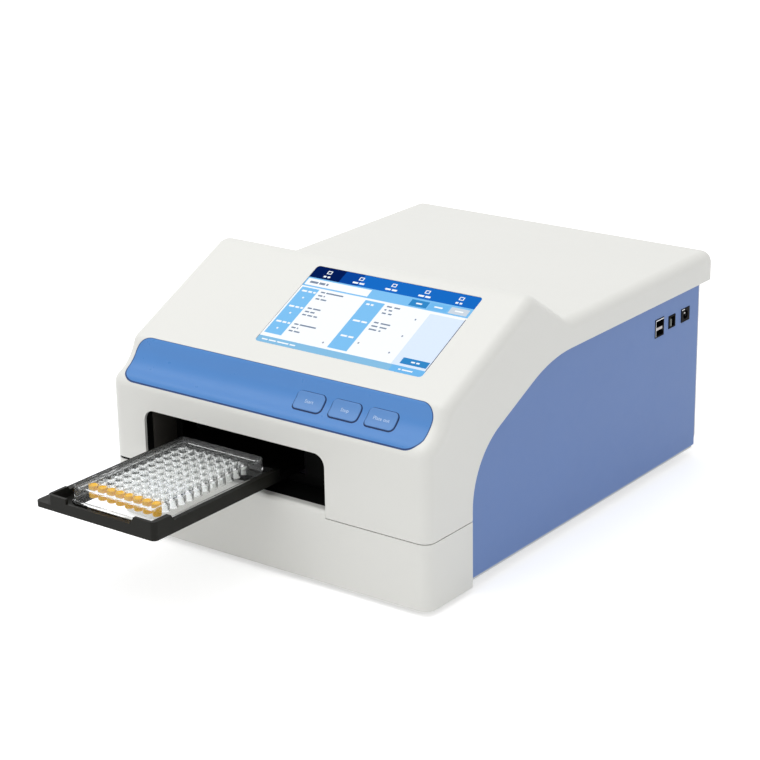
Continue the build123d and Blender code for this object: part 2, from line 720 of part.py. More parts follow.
# ---- Microplate and the liquid in its first row ----------------------------------------
well_bottom = plate_top - WELL_DEPTH
first_row_y = plate_y0 + (PLATE_L - (COLUMNS - 1) * PITCH) / 2
with BuildPart() as microplate:
    with BuildSketch(Plane.XY.offset(tray_top)):
        with Locations((PLATE_X, (plate_y0 + plate_y1) / 2)):
            RectangleRounded(PLATE_W, PLATE_L, PLATE_CORNER_R)
    extrude(amount=PLATE_FLANGE_H)
    with BuildSketch(Plane.XY.offset(tray_top + PLATE_FLANGE_H)) as upper_body:
        with Locations((PLATE_X, (plate_y0 + plate_y1) / 2)):
            Rectangle(PLATE_W - 2 * PLATE_STEP, PLATE_L - 2 * PLATE_STEP)
        chamfer(upper_body.vertices().group_by(Axis.Y)[0], PLATE_CORNER_R)
    extrude(amount=PLATE_H - PLATE_FLANGE_H)
    with BuildSketch(Plane.XY.offset(tray_top)):
        with Locations((PLATE_X, (plate_y0 + plate_y1) / 2)):
            Rectangle(PLATE_W - 2 * PLATE_CORNER_R, PLATE_L - 2 * PLATE_CORNER_R)
    extrude(amount=PLATE_RECESS, mode=Mode.SUBTRACT)
    with BuildSketch(Plane.XY.offset(plate_top)):
        with Locations((PLATE_X, (plate_y0 + plate_y1) / 2)):
            with GridLocations(PITCH, PITCH, ROWS, COLUMNS):
                RegularPolygon(WELL_R, WELL_SIDES)
    extrude(amount=-WELL_DEPTH, mode=Mode.SUBTRACT)
save(microplate.part, "microplate")

with BuildPart() as well_liquid:
    with BuildSketch(Plane.XY.offset(well_bottom)):
        with Locations((PLATE_X, first_row_y)):
            with GridLocations(PITCH, 0, ROWS, 1):
                RegularPolygon(WELL_R - LIQUID_GAP, WELL_SIDES)
    extrude(amount=LIQUID_H)
save(well_liquid.part, "well_liquid")

# ---- Guide shaft, slider and belt drive ------------------------------------------------
shaft_z = TRAY_Z - SHAFT_DROP
shaft_y0 = depth(SHAFT_START)
support_y = (shaft_y0, arm_y1 + TRAVEL + END_GAP)
shaft_y1 = support_y[1] + SUPPORT_L
with BuildPart() as guide_shaft:
    with BuildSketch(Plane.XZ.offset(-shaft_y0)):
        with Locations((SHAFT_X, shaft_z)):
            Circle(SHAFT_R)
    extrude(amount=-(shaft_y1 - shaft_y0))
save(guide_shaft.part, "guide_shaft")

with BuildPart() as shaft_supports:
    for start in support_y:
        block(SHAFT_X - SUPPORT_W / 2, SHAFT_X + SUPPORT_W / 2, start, start + SUPPORT_L,
              floor_z, TRAY_Z - 1)
    with BuildSketch(Plane.XZ.offset(-shaft_y0)):
        with Locations((SHAFT_X, shaft_z)):
            RegularPolygon(SHAFT_R, 8, major_radius=False)
    extrude(amount=-(shaft_y1 - shaft_y0), mode=Mode.SUBTRACT)
save(shaft_supports.part, "shaft_supports")

with BuildPart() as tray_slider:
    block(SHAFT_X - SLIDER_W / 2, SHAFT_X + SLIDER_W / 2, arm_y0, arm_y1,
          shaft_z - SLIDER_BELOW, TRAY_Z)
    with BuildSketch(Plane.XZ.offset(-arm_y0)):
        with Locations((SHAFT_X, shaft_z)):
            RegularPolygon(SHAFT_R + RUN_CLEAR, 8, major_radius=False)
    extrude(amount=-SLIDER_L, mode=Mode.SUBTRACT)
save(tray_slider.part, "tray_slider")

rail_x = tray_x0 + LEDGE_W / 2
with BuildPart() as glide_rail:
    block(rail_x - 1, rail_x + 1, shaft_y0, shaft_y1, floor_z, TRAY_Z - FIT)
    block(rail_x - 5, rail_x + 1, shaft_y0, shaft_y1, TRAY_Z - FIT - PANEL_T, TRAY_Z - FIT)
    block(rail_x - 9, rail_x + 1, shaft_y0, shaft_y1, floor_z, floor_z + PANEL_T)
save(glide_rail.part, "glide_rail")

belt_z = TRAY_Z - BELT_DROP
pulley_y = (shaft_y0 + 13, support_y[1] + SUPPORT_L)
pulley_half = BELT_W / 2 + PULLEY_FLANGE + 0.5
belt_span = pulley_y[1] - pulley_y[0]
pulley_body_r = BELT_R - BELT_T / 2


def pulley(y, bore):
    """A toothed belt pulley with two flanges on an upright axis."""
    levels = (
        (belt_z - pulley_half, PULLEY_FLANGE, BELT_R + PULLEY_FLANGE),
        (belt_z - pulley_half + PULLEY_FLANGE, 2 * (pulley_half - PULLEY_FLANGE), pulley_body_r),
        (belt_z + pulley_half - PULLEY_FLANGE, PULLEY_FLANGE, BELT_R + PULLEY_FLANGE),
    )
    with BuildPart() as wheel:
        for level_z, tall, radius in levels:
            with BuildSketch(Plane.XY.offset(level_z)):
                with Locations((BELT_X, y)):
                    RegularPolygon(radius, PULLEY_TEETH)
            extrude(amount=tall)
        post(BELT_X, y, belt_z - pulley_half, belt_z + pulley_half, bore, Mode.SUBTRACT)
    return wheel.part


save(pulley(pulley_y[0], AXLE_R + RUN_CLEAR), "idler_pulley")
save(pulley(pulley_y[1], AXLE_R), "drive_pulley")

with BuildPart() as drive_belt:
    with BuildSketch(Plane.XY.offset(belt_z - BELT_W / 2)) as loop:
        with Locations(Location((BELT_X, sum(pulley_y) / 2), 90)):
            SlotCenterToCenter(belt_span, 2 * BELT_R + BELT_T + 2 * FIT)
        with Locations(Location((BELT_X, sum(pulley_y) / 2), 90)):
            SlotCenterToCenter(belt_span, 2 * BELT_R - BELT_T + 2 * FIT, mode=Mode.SUBTRACT)
    extrude(amount=BELT_W)
save(drive_belt.part, "drive_belt")

belt_run_x = BELT_X - BELT_R - FIT
with BuildPart() as belt_clamp:
    block(belt_run_x - 3.5, belt_run_x + 3.5, arm_y1 - 12, arm_y1 - 2,
          belt_z - BELT_W / 2 - 3, TRAY_Z)
    block(belt_run_x - BELT_T / 2 - FIT, belt_run_x + BELT_T / 2 + FIT, arm_y1 - 13,
          arm_y1 - 1, belt_z - BELT_W / 2 - FIT, belt_z + BELT_W / 2 + FIT, Mode.SUBTRACT)
save(belt_clamp.part, "belt_clamp")

motor_top = belt_z - pulley_half - 4
with BuildPart() as tray_motor:
    with BuildSketch(Plane.XY.offset(motor_top - MOTOR_H)) as can:
        with Locations((BELT_X, pulley_y[1])):
            Rectangle(MOTOR_W, MOTOR_W)
        chamfer(can.vertices(), MOTOR_W / 10)
    extrude(amount=MOTOR_H)
    post(BELT_X, pulley_y[1], motor_top - 12, motor_top + 1, AXLE_R + RUN_CLEAR,
         Mode.SUBTRACT)
save(tray_motor.part, "tray_motor")

with BuildPart() as motor_shaft:
    post(BELT_X, pulley_y[1], motor_top - 11.5, belt_z + pulley_half + 1, AXLE_R)
save(motor_shaft.part, "motor_shaft")

with BuildPart() as motor_bracket:
    half = MOTOR_W / 2
    block(BELT_X - half, BELT_X + half, pulley_y[1] - half - BRACKET_T,
          pulley_y[1] + half + BRACKET_T, motor_top, motor_top + BRACKET_T)
    for side in (-1, 1):
        leg_y = pulley_y[1] + side * (half + BRACKET_T / 2)
        block(BELT_X - half, BELT_X + half, leg_y - BRACKET_T / 2, leg_y + BRACKET_T / 2,
              floor_z, motor_top)
    with BuildSketch(Plane.XY.offset(motor_top)):
        with Locations((BELT_X, pulley_y[1])):
            RegularPolygon(MOTOR_W / 4, 12)
    extrude(amount=BRACKET_T, mode=Mode.SUBTRACT)
save(motor_bracket.part, "motor_bracket")

with BuildPart() as idler_post:
    idler_top = belt_z - pulley_half - FIT
    block(BELT_X - 8, BELT_X + 8, pulley_y[0] - 8, pulley_y[0] + 8, floor_z, idler_top)
    post(BELT_X, pulley_y[0], idler_top, belt_z + pulley_half + 0.5, AXLE_R)
save(idler_post.part, "idler_post")

# ---- Measuring bridge over the tray ----------------------------------------------------
bridge_x0 = tray_x0 - BRIDGE_GAP
bridge_x1 = BELT_X + BELT_R + BRIDGE_GAP
bridge_y0 = depth(BRIDGE_IN)
bridge_y1 = depth(BRIDGE_IN + BRIDGE_L)
bridge_z = plate_top + BRIDGE_CLEAR
with BuildPart() as measuring_bridge:
    block(bridge_x0, bridge_x1, bridge_y0, bridge_y1, floor_z, bridge_z + BRIDGE_T)
    block(bridge_x0 + BRIDGE_LEG_T, bridge_x1 - BRIDGE_LEG_T, bridge_y0 - 1, bridge_y1 + 1,
          floor_z - 1, bridge_z, Mode.SUBTRACT)
    for side_x, inward in ((bridge_x0, -1), (bridge_x1, 1)):
        foot_x = side_x + BRIDGE_FOOT_L * inward
        block(min(side_x, foot_x), max(side_x, foot_x), bridge_y0, bridge_y1, floor_z,
              floor_z + BRIDGE_LEG_T)
save(measuring_bridge.part, "measuring_bridge")

with BuildPart() as lens_bar:
    lens_y = (bridge_y0 + bridge_y1) / 2
    block(PLATE_X - ROWS * PITCH / 2, PLATE_X + ROWS * PITCH / 2, lens_y - BRIDGE_L / 4,
          lens_y + BRIDGE_L / 4, bridge_z - LENS_BAR_T, bridge_z)
    with BuildSketch(Plane.XY.offset(bridge_z - LENS_BAR_T)):
        with Locations((PLATE_X, lens_y)):
            with GridLocations(PITCH, 0, ROWS, 1):
                RegularPolygon(LENS_PITCH_R, 4)
    extrude(amount=-1.5)
save(lens_bar.part, "lens_bar")

detector_z = TRAY_Z - DETECTOR_DROP
with BuildPart() as detector_board:
    block(PLATE_X - PLATE_W / 2, PLATE_X + PLATE_W / 2, bridge_y0 + STAND_T / 2,
          bridge_y1 - STAND_T / 2, detector_z, detector_z + BOARD_T)
save(detector_board.part, "detector_board")

with BuildPart() as detector_stand:
    for side in (-1, 1):
        stand_x = PLATE_X + side * (PLATE_W / 2 - STAND_INSET)
        block(stand_x - STAND_T / 2, stand_x + STAND_T / 2, bridge_y0 + STAND_T,
              bridge_y1 - STAND_T, floor_z, detector_z)
save(detector_stand.part, "detector_stand")

# ---- Optics deck with lamp, filter wheel and light guide -------------------------------
deck_y0 = depth(DECK_IN0)
deck_y1 = depth(DECK_IN1)
deck_top = DECK_Z + DECK_T
with BuildPart() as optics_deck:
    block(DECK_X0, DECK_X1, deck_y0, deck_y1, DECK_Z, deck_top)
save(optics_deck.part, "optics_deck")

with BuildPart() as deck_posts:
    with BuildSketch(Plane.XY.offset(floor_z)):
        with Locations(((DECK_X0 + DECK_X1) / 2, (deck_y0 + deck_y1) / 2)):
            with GridLocations(DECK_X1 - DECK_X0 - 2 * DECK_POST_INSET,
                               deck_y1 - deck_y0 - 2 * DECK_POST_INSET, 2, 2):
                RegularPolygon(DECK_POST_R, 6)
    extrude(amount=DECK_Z - floor_z)
save(deck_posts.part, "deck_posts")

wheel_z = deck_top + WHEEL_RISE
wheel_y0 = depth(WHEEL_IN)
beam_x = WHEEL_X - FILTER_PCD_R
wheel_plane = Plane.XZ.offset(-wheel_y0)
with BuildPart() as filter_wheel:
    with BuildSketch(wheel_plane):
        with Locations((WHEEL_X, wheel_z)):
            RegularPolygon(WHEEL_R, 3 * FILTERS)
            with PolarLocations(FILTER_PCD_R, FILTERS):
                RegularPolygon(FILTER_R, 6, mode=Mode.SUBTRACT)
            Circle(AXLE_R, mode=Mode.SUBTRACT)
    extrude(amount=-WHEEL_T)
save(filter_wheel.part, "filter_wheel")

with BuildPart() as optical_filters:
    with BuildSketch(wheel_plane):
        with Locations((WHEEL_X, wheel_z)):
            with PolarLocations(FILTER_PCD_R, FILTERS):
                RegularPolygon(FILTER_R, 6)
    extrude(amount=-WHEEL_T)
save(optical_filters.part, "optical_filters")

plate_y = wheel_y0 + WHEEL_T + 1.5
with BuildPart() as filter_motor:
    with BuildSketch(Plane.XZ.offset(-plate_y - BRACKET_T)):
        with Locations((WHEEL_X, wheel_z)):
            RegularPolygon(FILTER_MOTOR_R, 16)
    extrude(amount=-FILTER_MOTOR_L)
    with BuildSketch(Plane.XZ.offset(-plate_y - BRACKET_T)):
        with Locations((WHEEL_X, wheel_z)):
            RegularPolygon(AXLE_R + RUN_CLEAR, 8, major_radius=False)
    extrude(amount=-FILTER_MOTOR_L / 2, mode=Mode.SUBTRACT)
save(filter_motor.part, "filter_motor")

with BuildPart() as filter_shaft:
    with BuildSketch(Plane.XZ.offset(-wheel_y0)):
        with Locations((WHEEL_X, wheel_z)):
            Circle(AXLE_R)
    extrude(amount=-(plate_y + BRACKET_T + FILTER_MOTOR_L / 2 - 0.5 - wheel_y0))
save(filter_shaft.part, "filter_shaft")

with BuildPart() as filter_bracket:
    block(beam_x - LENS_R - 4, WHEEL_X + FILTER_MOTOR_R + 4, plate_y, plate_y + BRACKET_T,
          deck_top, wheel_z + FILTER_MOTOR_R + 2)
    with BuildSketch(Plane.XZ.offset(-plate_y)):
        with Locations((WHEEL_X, wheel_z)):
            RegularPolygon(2 * AXLE_R, 12)
        with Locations((beam_x, wheel_z)):
            RegularPolygon(FILTER_R, 12)
    extrude(amount=-BRACKET_T, mode=Mode.SUBTRACT)
save(filter_bracket.part, "filter_bracket")

with BuildPart() as lens_tube:
    tube_y1 = wheel_y0 - 1.5
    with BuildSketch(Plane.XZ.offset(-tube_y1)):
        with Locations((beam_x, wheel_z)):
            RegularPolygon(LENS_R, 16)
    extrude(amount=LENS_L)
    block(beam_x - 3, beam_x + 3, tube_y1 - LENS_L * 0.7, tube_y1 - LENS_L * 0.3, deck_top,
          wheel_z)
save(lens_tube.part, "lens_tube")

with BuildPart() as lamp_housing:
    lamp_y0 = plate_y + BRACKET_T + LAMP_GAP
    block(beam_x - LAMP_W / 2, beam_x + LAMP_W / 2, lamp_y0, lamp_y0 + LAMP_L, deck_top,
          deck_top + LAMP_H)
    with Locations((beam_x, lamp_y0 + LAMP_L / 2, deck_top + LAMP_H)):
        with GridLocations(LAMP_W / FINS, 0, FINS, 1):
            Box(LAMP_W / FINS / 2, 2 * LAMP_L, FIN_H, mode=Mode.SUBTRACT)
save(lamp_housing.part, "lamp_housing")

with BuildPart() as light_guide:
    guide_y0 = tube_y1 - LENS_L
    with BuildLine() as route:
        Polyline(
            (beam_x, guide_y0, wheel_z),
            (beam_x, lens_y + GUIDE_BEND, wheel_z),
            (beam_x, lens_y + GUIDE_BEND * 0.3, wheel_z - GUIDE_BEND * 0.3),
            (beam_x, lens_y, wheel_z - GUIDE_BEND),
            (beam_x, lens_y, bridge_z + BRIDGE_T),
        )
    with BuildSketch(Plane.XZ.offset(-guide_y0)):
        with Locations((beam_x, wheel_z)):
            RegularPolygon(GUIDE_R, 8)
    sweep(transition=Transition.RIGHT)
save(light_guide.part, "light_guide")

# ---- Electronics -----------------------------------------------------------------------
board_x0 = DECK_X1
board_x1 = inner_x - BOARD_INSET
board_y0 = depth(BOARD_IN)
board_y1 = board_y0 + BOARD_L
board_z = floor_z + STANDOFF_H
with BuildPart() as main_board:
    block(board_x0, board_x1, board_y0, board_y1, board_z, board_z + BOARD_T)
save(main_board.part, "main_board")

with BuildPart() as board_standoffs:
    with BuildSketch(Plane.XY.offset(floor_z)):
        with Locations(((board_x0 + board_x1) / 2, (board_y0 + board_y1) / 2)):
            with GridLocations(board_x1 - board_x0 - STANDOFF_H, BOARD_L - STANDOFF_H, 2, 2):
                RegularPolygon(STANDOFF_R, 6)
    extrude(amount=STANDOFF_H)
save(board_standoffs.part, "board_standoffs")

with BuildPart() as board_components:
    top_z = board_z + BOARD_T
    for share, tall in COMPONENTS:
        chip_y = board_y0 + share * BOARD_L
        block(board_x0 + CHIP_L / 2, board_x0 + CHIP_L * 3 / 2, chip_y, chip_y + CHIP_L,
              top_z, top_z + tall)
save(board_components.part, "board_components")

port_x1 = SIDE_X - WALL + PORT_PROUD
port_board_x0 = port_x1 - PORT_BOARD_W
port_board_y0 = depth(USB_IN) - USB_W / 2 - PORT_MARGIN
port_board_y1 = depth(DC_IN) + PORT_MARGIN
port_board_top = height(PORT_H) - USB_H / 2
with BuildPart() as port_board:
    block(port_board_x0, inner_x - FIT, port_board_y0, port_board_y1,
          port_board_top - BOARD_T, port_board_top)
save(port_board.part, "port_board")

with BuildPart() as port_bracket:
    block(port_board_x0, port_board_x0 + PANEL_T, port_board_y0, port_board_y1, floor_z,
          port_board_top - BOARD_T)
save(port_bracket.part, "port_bracket")


def port_block(port_in, width, tall):
    """A connector standing on the port board, its face at the panel."""
    y0 = depth(port_in) - width / 2
    y1 = depth(port_in) + width / 2
    block(port_x1 - PORT_D, port_x1, y0, y1, height(PORT_H) - tall / 2, height(PORT_H) + tall / 2)
    block(port_x1 - PORT_D, inner_x - FIT, y0, y1, port_board_top, height(PORT_H))


def port_opening(port_in, width, z, tall):
    """The opening of a socket, cut into its outer face."""
    y0 = depth(port_in) - width / 2 + PORT_EDGE
    y1 = depth(port_in) + width / 2 - PORT_EDGE
    block(port_x1 - SOCKET_D, port_x1 + PORT_PROUD, y0, y1, z - tall / 2, z + tall / 2,
          Mode.SUBTRACT)


with BuildPart() as usb_ports:
    port_block(USB_IN, USB_W, USB_H)
    for side in (-1, 1):
        slot_z = height(PORT_H) + side * USB_H / 4
        port_opening(USB_IN, USB_W, slot_z, USB_H / 2 - 2 * PORT_EDGE)
save(usb_ports.part, "usb_ports")

with BuildPart() as data_port:
    port_block(DATA_IN, DATA_W, DATA_H)
    port_opening(DATA_IN, DATA_W, height(PORT_H), DATA_H - 2 * PORT_EDGE)
save(data_port.part, "data_port")

with BuildPart() as dc_socket:
    port_block(DC_IN, DC_W, DC_H)
    dc_centre = (port_x1, depth(DC_IN), height(PORT_H))
    with BuildSketch(Plane(origin=dc_centre, x_dir=(0, 1, 0), z_dir=(1, 0, 0))):
        RegularPolygon(DC_HOLE_R, 16)
        RegularPolygon(DC_PIN_R, 8, mode=Mode.SUBTRACT)
    extrude(amount=-SOCKET_D, mode=Mode.SUBTRACT)
save(dc_socket.part, "dc_socket")

# ---- Cooling fan behind the rear vent --------------------------------------------------
fan_y1 = depth(BODY_D - PANEL_T)
fan_y0 = fan_y1 - FAN_D
fan_plane = Plane.XZ.offset(-fan_y0)
fan_bore = FAN_W / 2 - FAN_SPOKE / 2
with BuildPart() as fan_frame:
    block(FAN_X - FAN_W / 2, FAN_X + FAN_W / 2, fan_y0, fan_y1, fan_z - FAN_W / 2,
          fan_z + FAN_W / 2)
    with BuildSketch(fan_plane):
        with Locations((FAN_X, fan_z)):
            RegularPolygon(fan_bore, 16)
            Rectangle(FAN_W, FAN_SPOKE, mode=Mode.SUBTRACT)
            Rectangle(FAN_SPOKE, FAN_W, mode=Mode.SUBTRACT)
    extrude(amount=-FAN_SPOKE, mode=Mode.SUBTRACT)
    with BuildSketch(fan_plane.offset(-FAN_SPOKE)):
        with Locations((FAN_X, fan_z)):
            RegularPolygon(fan_bore, 16)
    extrude(amount=-(FAN_D - FAN_SPOKE), mode=Mode.SUBTRACT)
    with BuildSketch(fan_plane.offset(-FAN_SPOKE)):
        with Locations((FAN_X, fan_z)):
            Circle(AXLE_R)
    extrude(amount=-FAN_D / 2)
save(fan_frame.part, "fan_frame")

rotor_plane = fan_plane.offset(-FAN_SPOKE - 2 * FIT)
rotor_l = FAN_D - FAN_SPOKE - 4 * FIT
with BuildPart() as fan_rotor:
    with BuildSketch(rotor_plane):
        with Locations((FAN_X, fan_z)):
            RegularPolygon(FAN_HUB_R, 16)
    extrude(amount=-rotor_l)
    with BuildSketch(rotor_plane.offset(-FIT)):
        with Locations((FAN_X, fan_z)):
            with PolarLocations(FAN_HUB_R + FAN_BLADE_L / 2 - 2, FAN_BLADES):
                with Locations(Location((0, 0), FAN_BLADE_TURN)):
                    Rectangle(FAN_BLADE_L, FAN_BLADE_T)
    extrude(amount=-(rotor_l - 2 * FIT))
    with BuildSketch(rotor_plane):
        with Locations((FAN_X, fan_z)):
            Circle(AXLE_R + RUN_CLEAR)
    extrude(amount=-FAN_D / 2, mode=Mode.SUBTRACT)
save(fan_rotor.part, "fan_rotor")

# ---- Screws ----------------------------------------------------------------------------
with BuildPart() as case_screws:
    with BuildSketch(Plane.XZ.offset(-depth(BODY_D))):
        with Locations((0, height((skirt_h + PANEL_RISE) / 2))):
            with GridLocations(2 * (inner_x - SCREW_INSET), skirt_h - 2 * SCREW_INSET, 2, 2):
                RegularPolygon(SCREW_HEAD_R, 8)
    extrude(amount=-SCREW_HEAD_H)
save(case_screws.part, "case_screws")
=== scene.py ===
# %% [markdown]
# # Benchtop microplate reader
#
# The reader is a white moulded housing with blue side panels, a sloping touch screen, a row of
# keys in a blue channel and a black tray that carries a clear 96-well plate out of the front.
# The solids come packed, in metres, and stay where they are. This lesson gives them their
# finishes and builds the pieces that need finer meshes: the picture on the screen, the plate
# with its wells, the key caps with their words, and the metal and pale parts of the sockets.

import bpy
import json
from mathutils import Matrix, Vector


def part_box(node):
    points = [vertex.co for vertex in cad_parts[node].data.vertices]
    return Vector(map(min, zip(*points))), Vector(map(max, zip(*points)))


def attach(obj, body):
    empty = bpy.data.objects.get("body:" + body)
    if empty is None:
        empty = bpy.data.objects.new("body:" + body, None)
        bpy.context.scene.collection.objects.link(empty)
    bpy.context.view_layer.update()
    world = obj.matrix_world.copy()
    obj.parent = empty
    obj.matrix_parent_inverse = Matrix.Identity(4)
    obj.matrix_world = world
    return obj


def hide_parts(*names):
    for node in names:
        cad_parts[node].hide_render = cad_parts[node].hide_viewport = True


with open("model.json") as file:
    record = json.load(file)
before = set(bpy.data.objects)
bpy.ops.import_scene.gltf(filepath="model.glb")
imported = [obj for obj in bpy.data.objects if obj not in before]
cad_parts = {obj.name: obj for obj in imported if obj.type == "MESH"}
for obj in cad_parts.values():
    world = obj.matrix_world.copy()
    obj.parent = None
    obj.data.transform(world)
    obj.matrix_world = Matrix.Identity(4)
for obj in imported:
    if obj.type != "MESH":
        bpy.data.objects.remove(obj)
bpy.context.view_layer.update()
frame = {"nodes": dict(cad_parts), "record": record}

# %% Tools used all through
import json
from math import atan2, cos, pi, radians, sin

import bmesh
import bpy
from mathutils import Matrix, Vector
from mathutils.bvhtree import BVHTree

MM = 0.001
scene = bpy.context.scene
scene.view_settings.view_transform = "Standard"
nodes = frame["nodes"]

# %% [markdown]
# ## Camera
#
# A product picture is taken with a long lens, so that upright edges stay nearly parallel. The
# camera stands to the right of the reader and a little above it. It is placed by its own three
# directions: right, up and back. A small roll leans it by a degree.

# %% The camera
AZIMUTH, ELEVATION, ROLL = radians(36.989), radians(19.213), radians(-0.978)
CAMERA_PLACE = (0.99454, -1.31644, 0.689)
FOCAL_LENGTH, SENSOR = 101.53, 36
back = Vector((
    sin(AZIMUTH) * cos(ELEVATION),
    -cos(AZIMUTH) * cos(ELEVATION),
    sin(ELEVATION),
))
level_right = (-back).cross(Vector((0, 0, 1))).normalized()
level_up = level_right.cross(-back)
right = cos(ROLL) * level_right + sin(ROLL) * level_up
up = cos(ROLL) * level_up - sin(ROLL) * level_right
camera = bpy.data.objects.new("camera", bpy.data.cameras.new("camera"))
scene.collection.objects.link(camera)
camera.matrix_world = Matrix.Translation(CAMERA_PLACE) @ Matrix(
    (right, up, back)
).transposed().to_4x4()
camera.data.sensor_width = SENSOR
camera.data.lens = FOCAL_LENGTH
scene.camera = camera
print("camera:", tuple(round(c, 3) for c in camera.location))

# %% [markdown]
# ## Studio
#
# The set is a white floor under a white sky. What the camera sees of the sky is pure white, and
# so is what gloss and glass show of it, while the sky that lights the reader is softer. Light
# Path tells the two apart. One large lamp above makes the top faces the palest, and two weak
# lamps keep the front a little lighter than the side.

# %% Which rays see the set
def seen_rays(tree):
    """A socket that is 1 for a ray from the camera, or one that gloss or glass has passed on."""
    path = tree.nodes.new("ShaderNodeLightPath")
    camera_or_gloss = tree.nodes.new("ShaderNodeMath")
    camera_or_gloss.operation = "MAXIMUM"
    seen = tree.nodes.new("ShaderNodeMath")
    seen.operation = "MAXIMUM"
    tree.links.new(path.outputs["Is Camera Ray"], camera_or_gloss.inputs[0])
    tree.links.new(path.outputs["Is Glossy Ray"], camera_or_gloss.inputs[1])
    tree.links.new(camera_or_gloss.outputs[0], seen.inputs[0])
    tree.links.new(path.outputs["Is Transmission Ray"], seen.inputs[1])
    return seen.outputs[0]


# %% The sky
SKY_LIGHT, SKY_WHITE = 0.62, 1.0
world = bpy.data.worlds.new("white sky")
scene.world = world
world.use_nodes = True
sky = world.node_tree
sky.nodes.clear()
strength = sky.nodes.new("ShaderNodeMapRange")
strength.inputs["To Min"].default_value = SKY_LIGHT
strength.inputs["To Max"].default_value = SKY_WHITE
background = sky.nodes.new("ShaderNodeBackground")
background.inputs["Color"].default_value = (1, 1, 1, 1)
output = sky.nodes.new("ShaderNodeOutputWorld")
sky.links.new(seen_rays(sky), strength.inputs["Value"])
sky.links.new(strength.outputs[0], background.inputs["Strength"])
sky.links.new(background.outputs[0], output.inputs[0])
print("sky:", SKY_LIGHT, "as light,", SKY_WHITE, "as seen")


# %% The lamps
def lamp(name, place, aim, size, watts):
    """A square area lamp that looks at a point."""
    light = bpy.data.lights.new(name, "AREA")
    light.size = size
    light.energy = watts
    holder = bpy.data.objects.new(name, light)
    scene.collection.objects.link(holder)
    holder.location = place
    holder.rotation_euler = (Vector(aim) - Vector(place)).to_track_quat("-Z", "Y").to_euler()
    print(name, watts, "W")


lamp("top lamp", (-0.4, -0.4, 2.2), (0, 0, 0.1), 2.4, 24)
lamp("front lamp", (-1.2, -2.4, 0.9), (0, -0.1, 0.1), 1.6, 5)
lamp("side lamp", (2.6, -0.6, 0.8), (0, 0, 0.1), 1.6, 3.5)


# %% [markdown]
# ## How the finishes are made
#
# Each finish is one Principled shader. Three noises give it the unevenness that real surfaces
# have: a broad one that lightens and darkens the colour a little, a finer one that varies the
# gloss, and a very fine one that stands for the grain of the mould and only tips the light.
# Values that are the same all over are set on the shader itself.

# %% A finish with broad mottling, uneven gloss and a fine grain
MOTTLE_SCALE, GLOSS_SCALE = 14, 120
GRAIN_DEPTH = 0.02 * MM
COAT_ROUGHNESS = 0.08
finishes = {}


def finish(name, colour, rough=0.4, metal=0.0, mottle=0.03, grain=0.6, grain_mm=0.5, coat=0.0,
           vary=0.06, mirror=0.5):
    """A painted, moulded or metal finish. grain is the bump's strength, grain_mm its size, and
    mirror how much white light a smooth spot throws back."""
    made = bpy.data.materials.new(name)
    made.use_nodes = True
    tree = made.node_tree
    shader = tree.nodes["Principled BSDF"]
    where = tree.nodes.new("ShaderNodeTexCoord")

    broad = tree.nodes.new("ShaderNodeTexNoise")
    broad.inputs["Scale"].default_value = MOTTLE_SCALE
    broad.inputs["Detail"].default_value = 3
    tint = tree.nodes.new("ShaderNodeMix")
    tint.data_type = "RGBA"
    tint.inputs["A"].default_value = (*[c * (1 - mottle) for c in colour], 1)
    tint.inputs["B"].default_value = (*[min(1, c * (1 + mottle)) for c in colour], 1)
    tree.links.new(where.outputs["Object"], broad.inputs["Vector"])
    tree.links.new(broad.outputs["Fac"], tint.inputs["Factor"])
    tree.links.new(tint.outputs["Result"], shader.inputs["Base Color"])

    fine = tree.nodes.new("ShaderNodeTexNoise")
    fine.inputs["Scale"].default_value = GLOSS_SCALE
    gloss = tree.nodes.new("ShaderNodeMapRange")
    gloss.inputs["To Min"].default_value = max(0.02, rough - vary)
    gloss.inputs["To Max"].default_value = min(1, rough + vary)
    tree.links.new(where.outputs["Object"], fine.inputs["Vector"])
    tree.links.new(fine.outputs["Fac"], gloss.inputs["Value"])
    tree.links.new(gloss.outputs[0], shader.inputs["Roughness"])

    pits = tree.nodes.new("ShaderNodeTexNoise")
    pits.inputs["Scale"].default_value = 1 / (grain_mm * MM)
    bump = tree.nodes.new("ShaderNodeBump")
    bump.inputs["Strength"].default_value = grain
    bump.inputs["Distance"].default_value = GRAIN_DEPTH
    tree.links.new(where.outputs["Object"], pits.inputs["Vector"])
    tree.links.new(pits.outputs["Fac"], bump.inputs["Height"])
    tree.links.new(bump.outputs[0], shader.inputs["Normal"])

    shader.inputs["Metallic"].default_value = metal
    shader.inputs["Specular IOR Level"].default_value = mirror
    shader.inputs["Coat Weight"].default_value = coat
    shader.inputs["Coat Roughness"].default_value = COAT_ROUGHNESS
    finishes[name] = made


# %% The finishes of the casing
finish("housing_white", (0.80, 0.80, 0.765), rough=0.38, mottle=0.012, grain=0.5, coat=0.05)
finish("panel_blue", (0.130, 0.232, 0.515), rough=0.42, mottle=0.03, grain=0.7, grain_mm=0.7,
       mirror=0.4)
finish("strip_blue", (0.072, 0.240, 0.590), rough=0.30, mottle=0.02, grain=0.3, mirror=0.4)
finish("key_blue", (0.100, 0.258, 0.580), rough=0.34, mottle=0.02, grain=0.4, mirror=0.4)
# Painted shade for the grooves round the keys.
finish("groove_shade_blue", (0.006, 0.022, 0.090), rough=0.45, mirror=0.2)
finish("mark_pale", (0.50, 0.64, 0.86), rough=0.5)
finish("tray_black", (0.013, 0.013, 0.011), rough=0.42, mottle=0.12, grain=0.6, grain_mm=0.6,
       mirror=0.13)
finish("black_plastic", (0.004, 0.004, 0.004), rough=0.6, mottle=0.1, grain=0.6, mirror=0.08)
# Painted light: a lit grey for the left wall of the black recess.
finish("lit_recess_grey", (0.075, 0.070, 0.062), rough=0.6, mottle=0.15, grain=0.6, mirror=0.1)
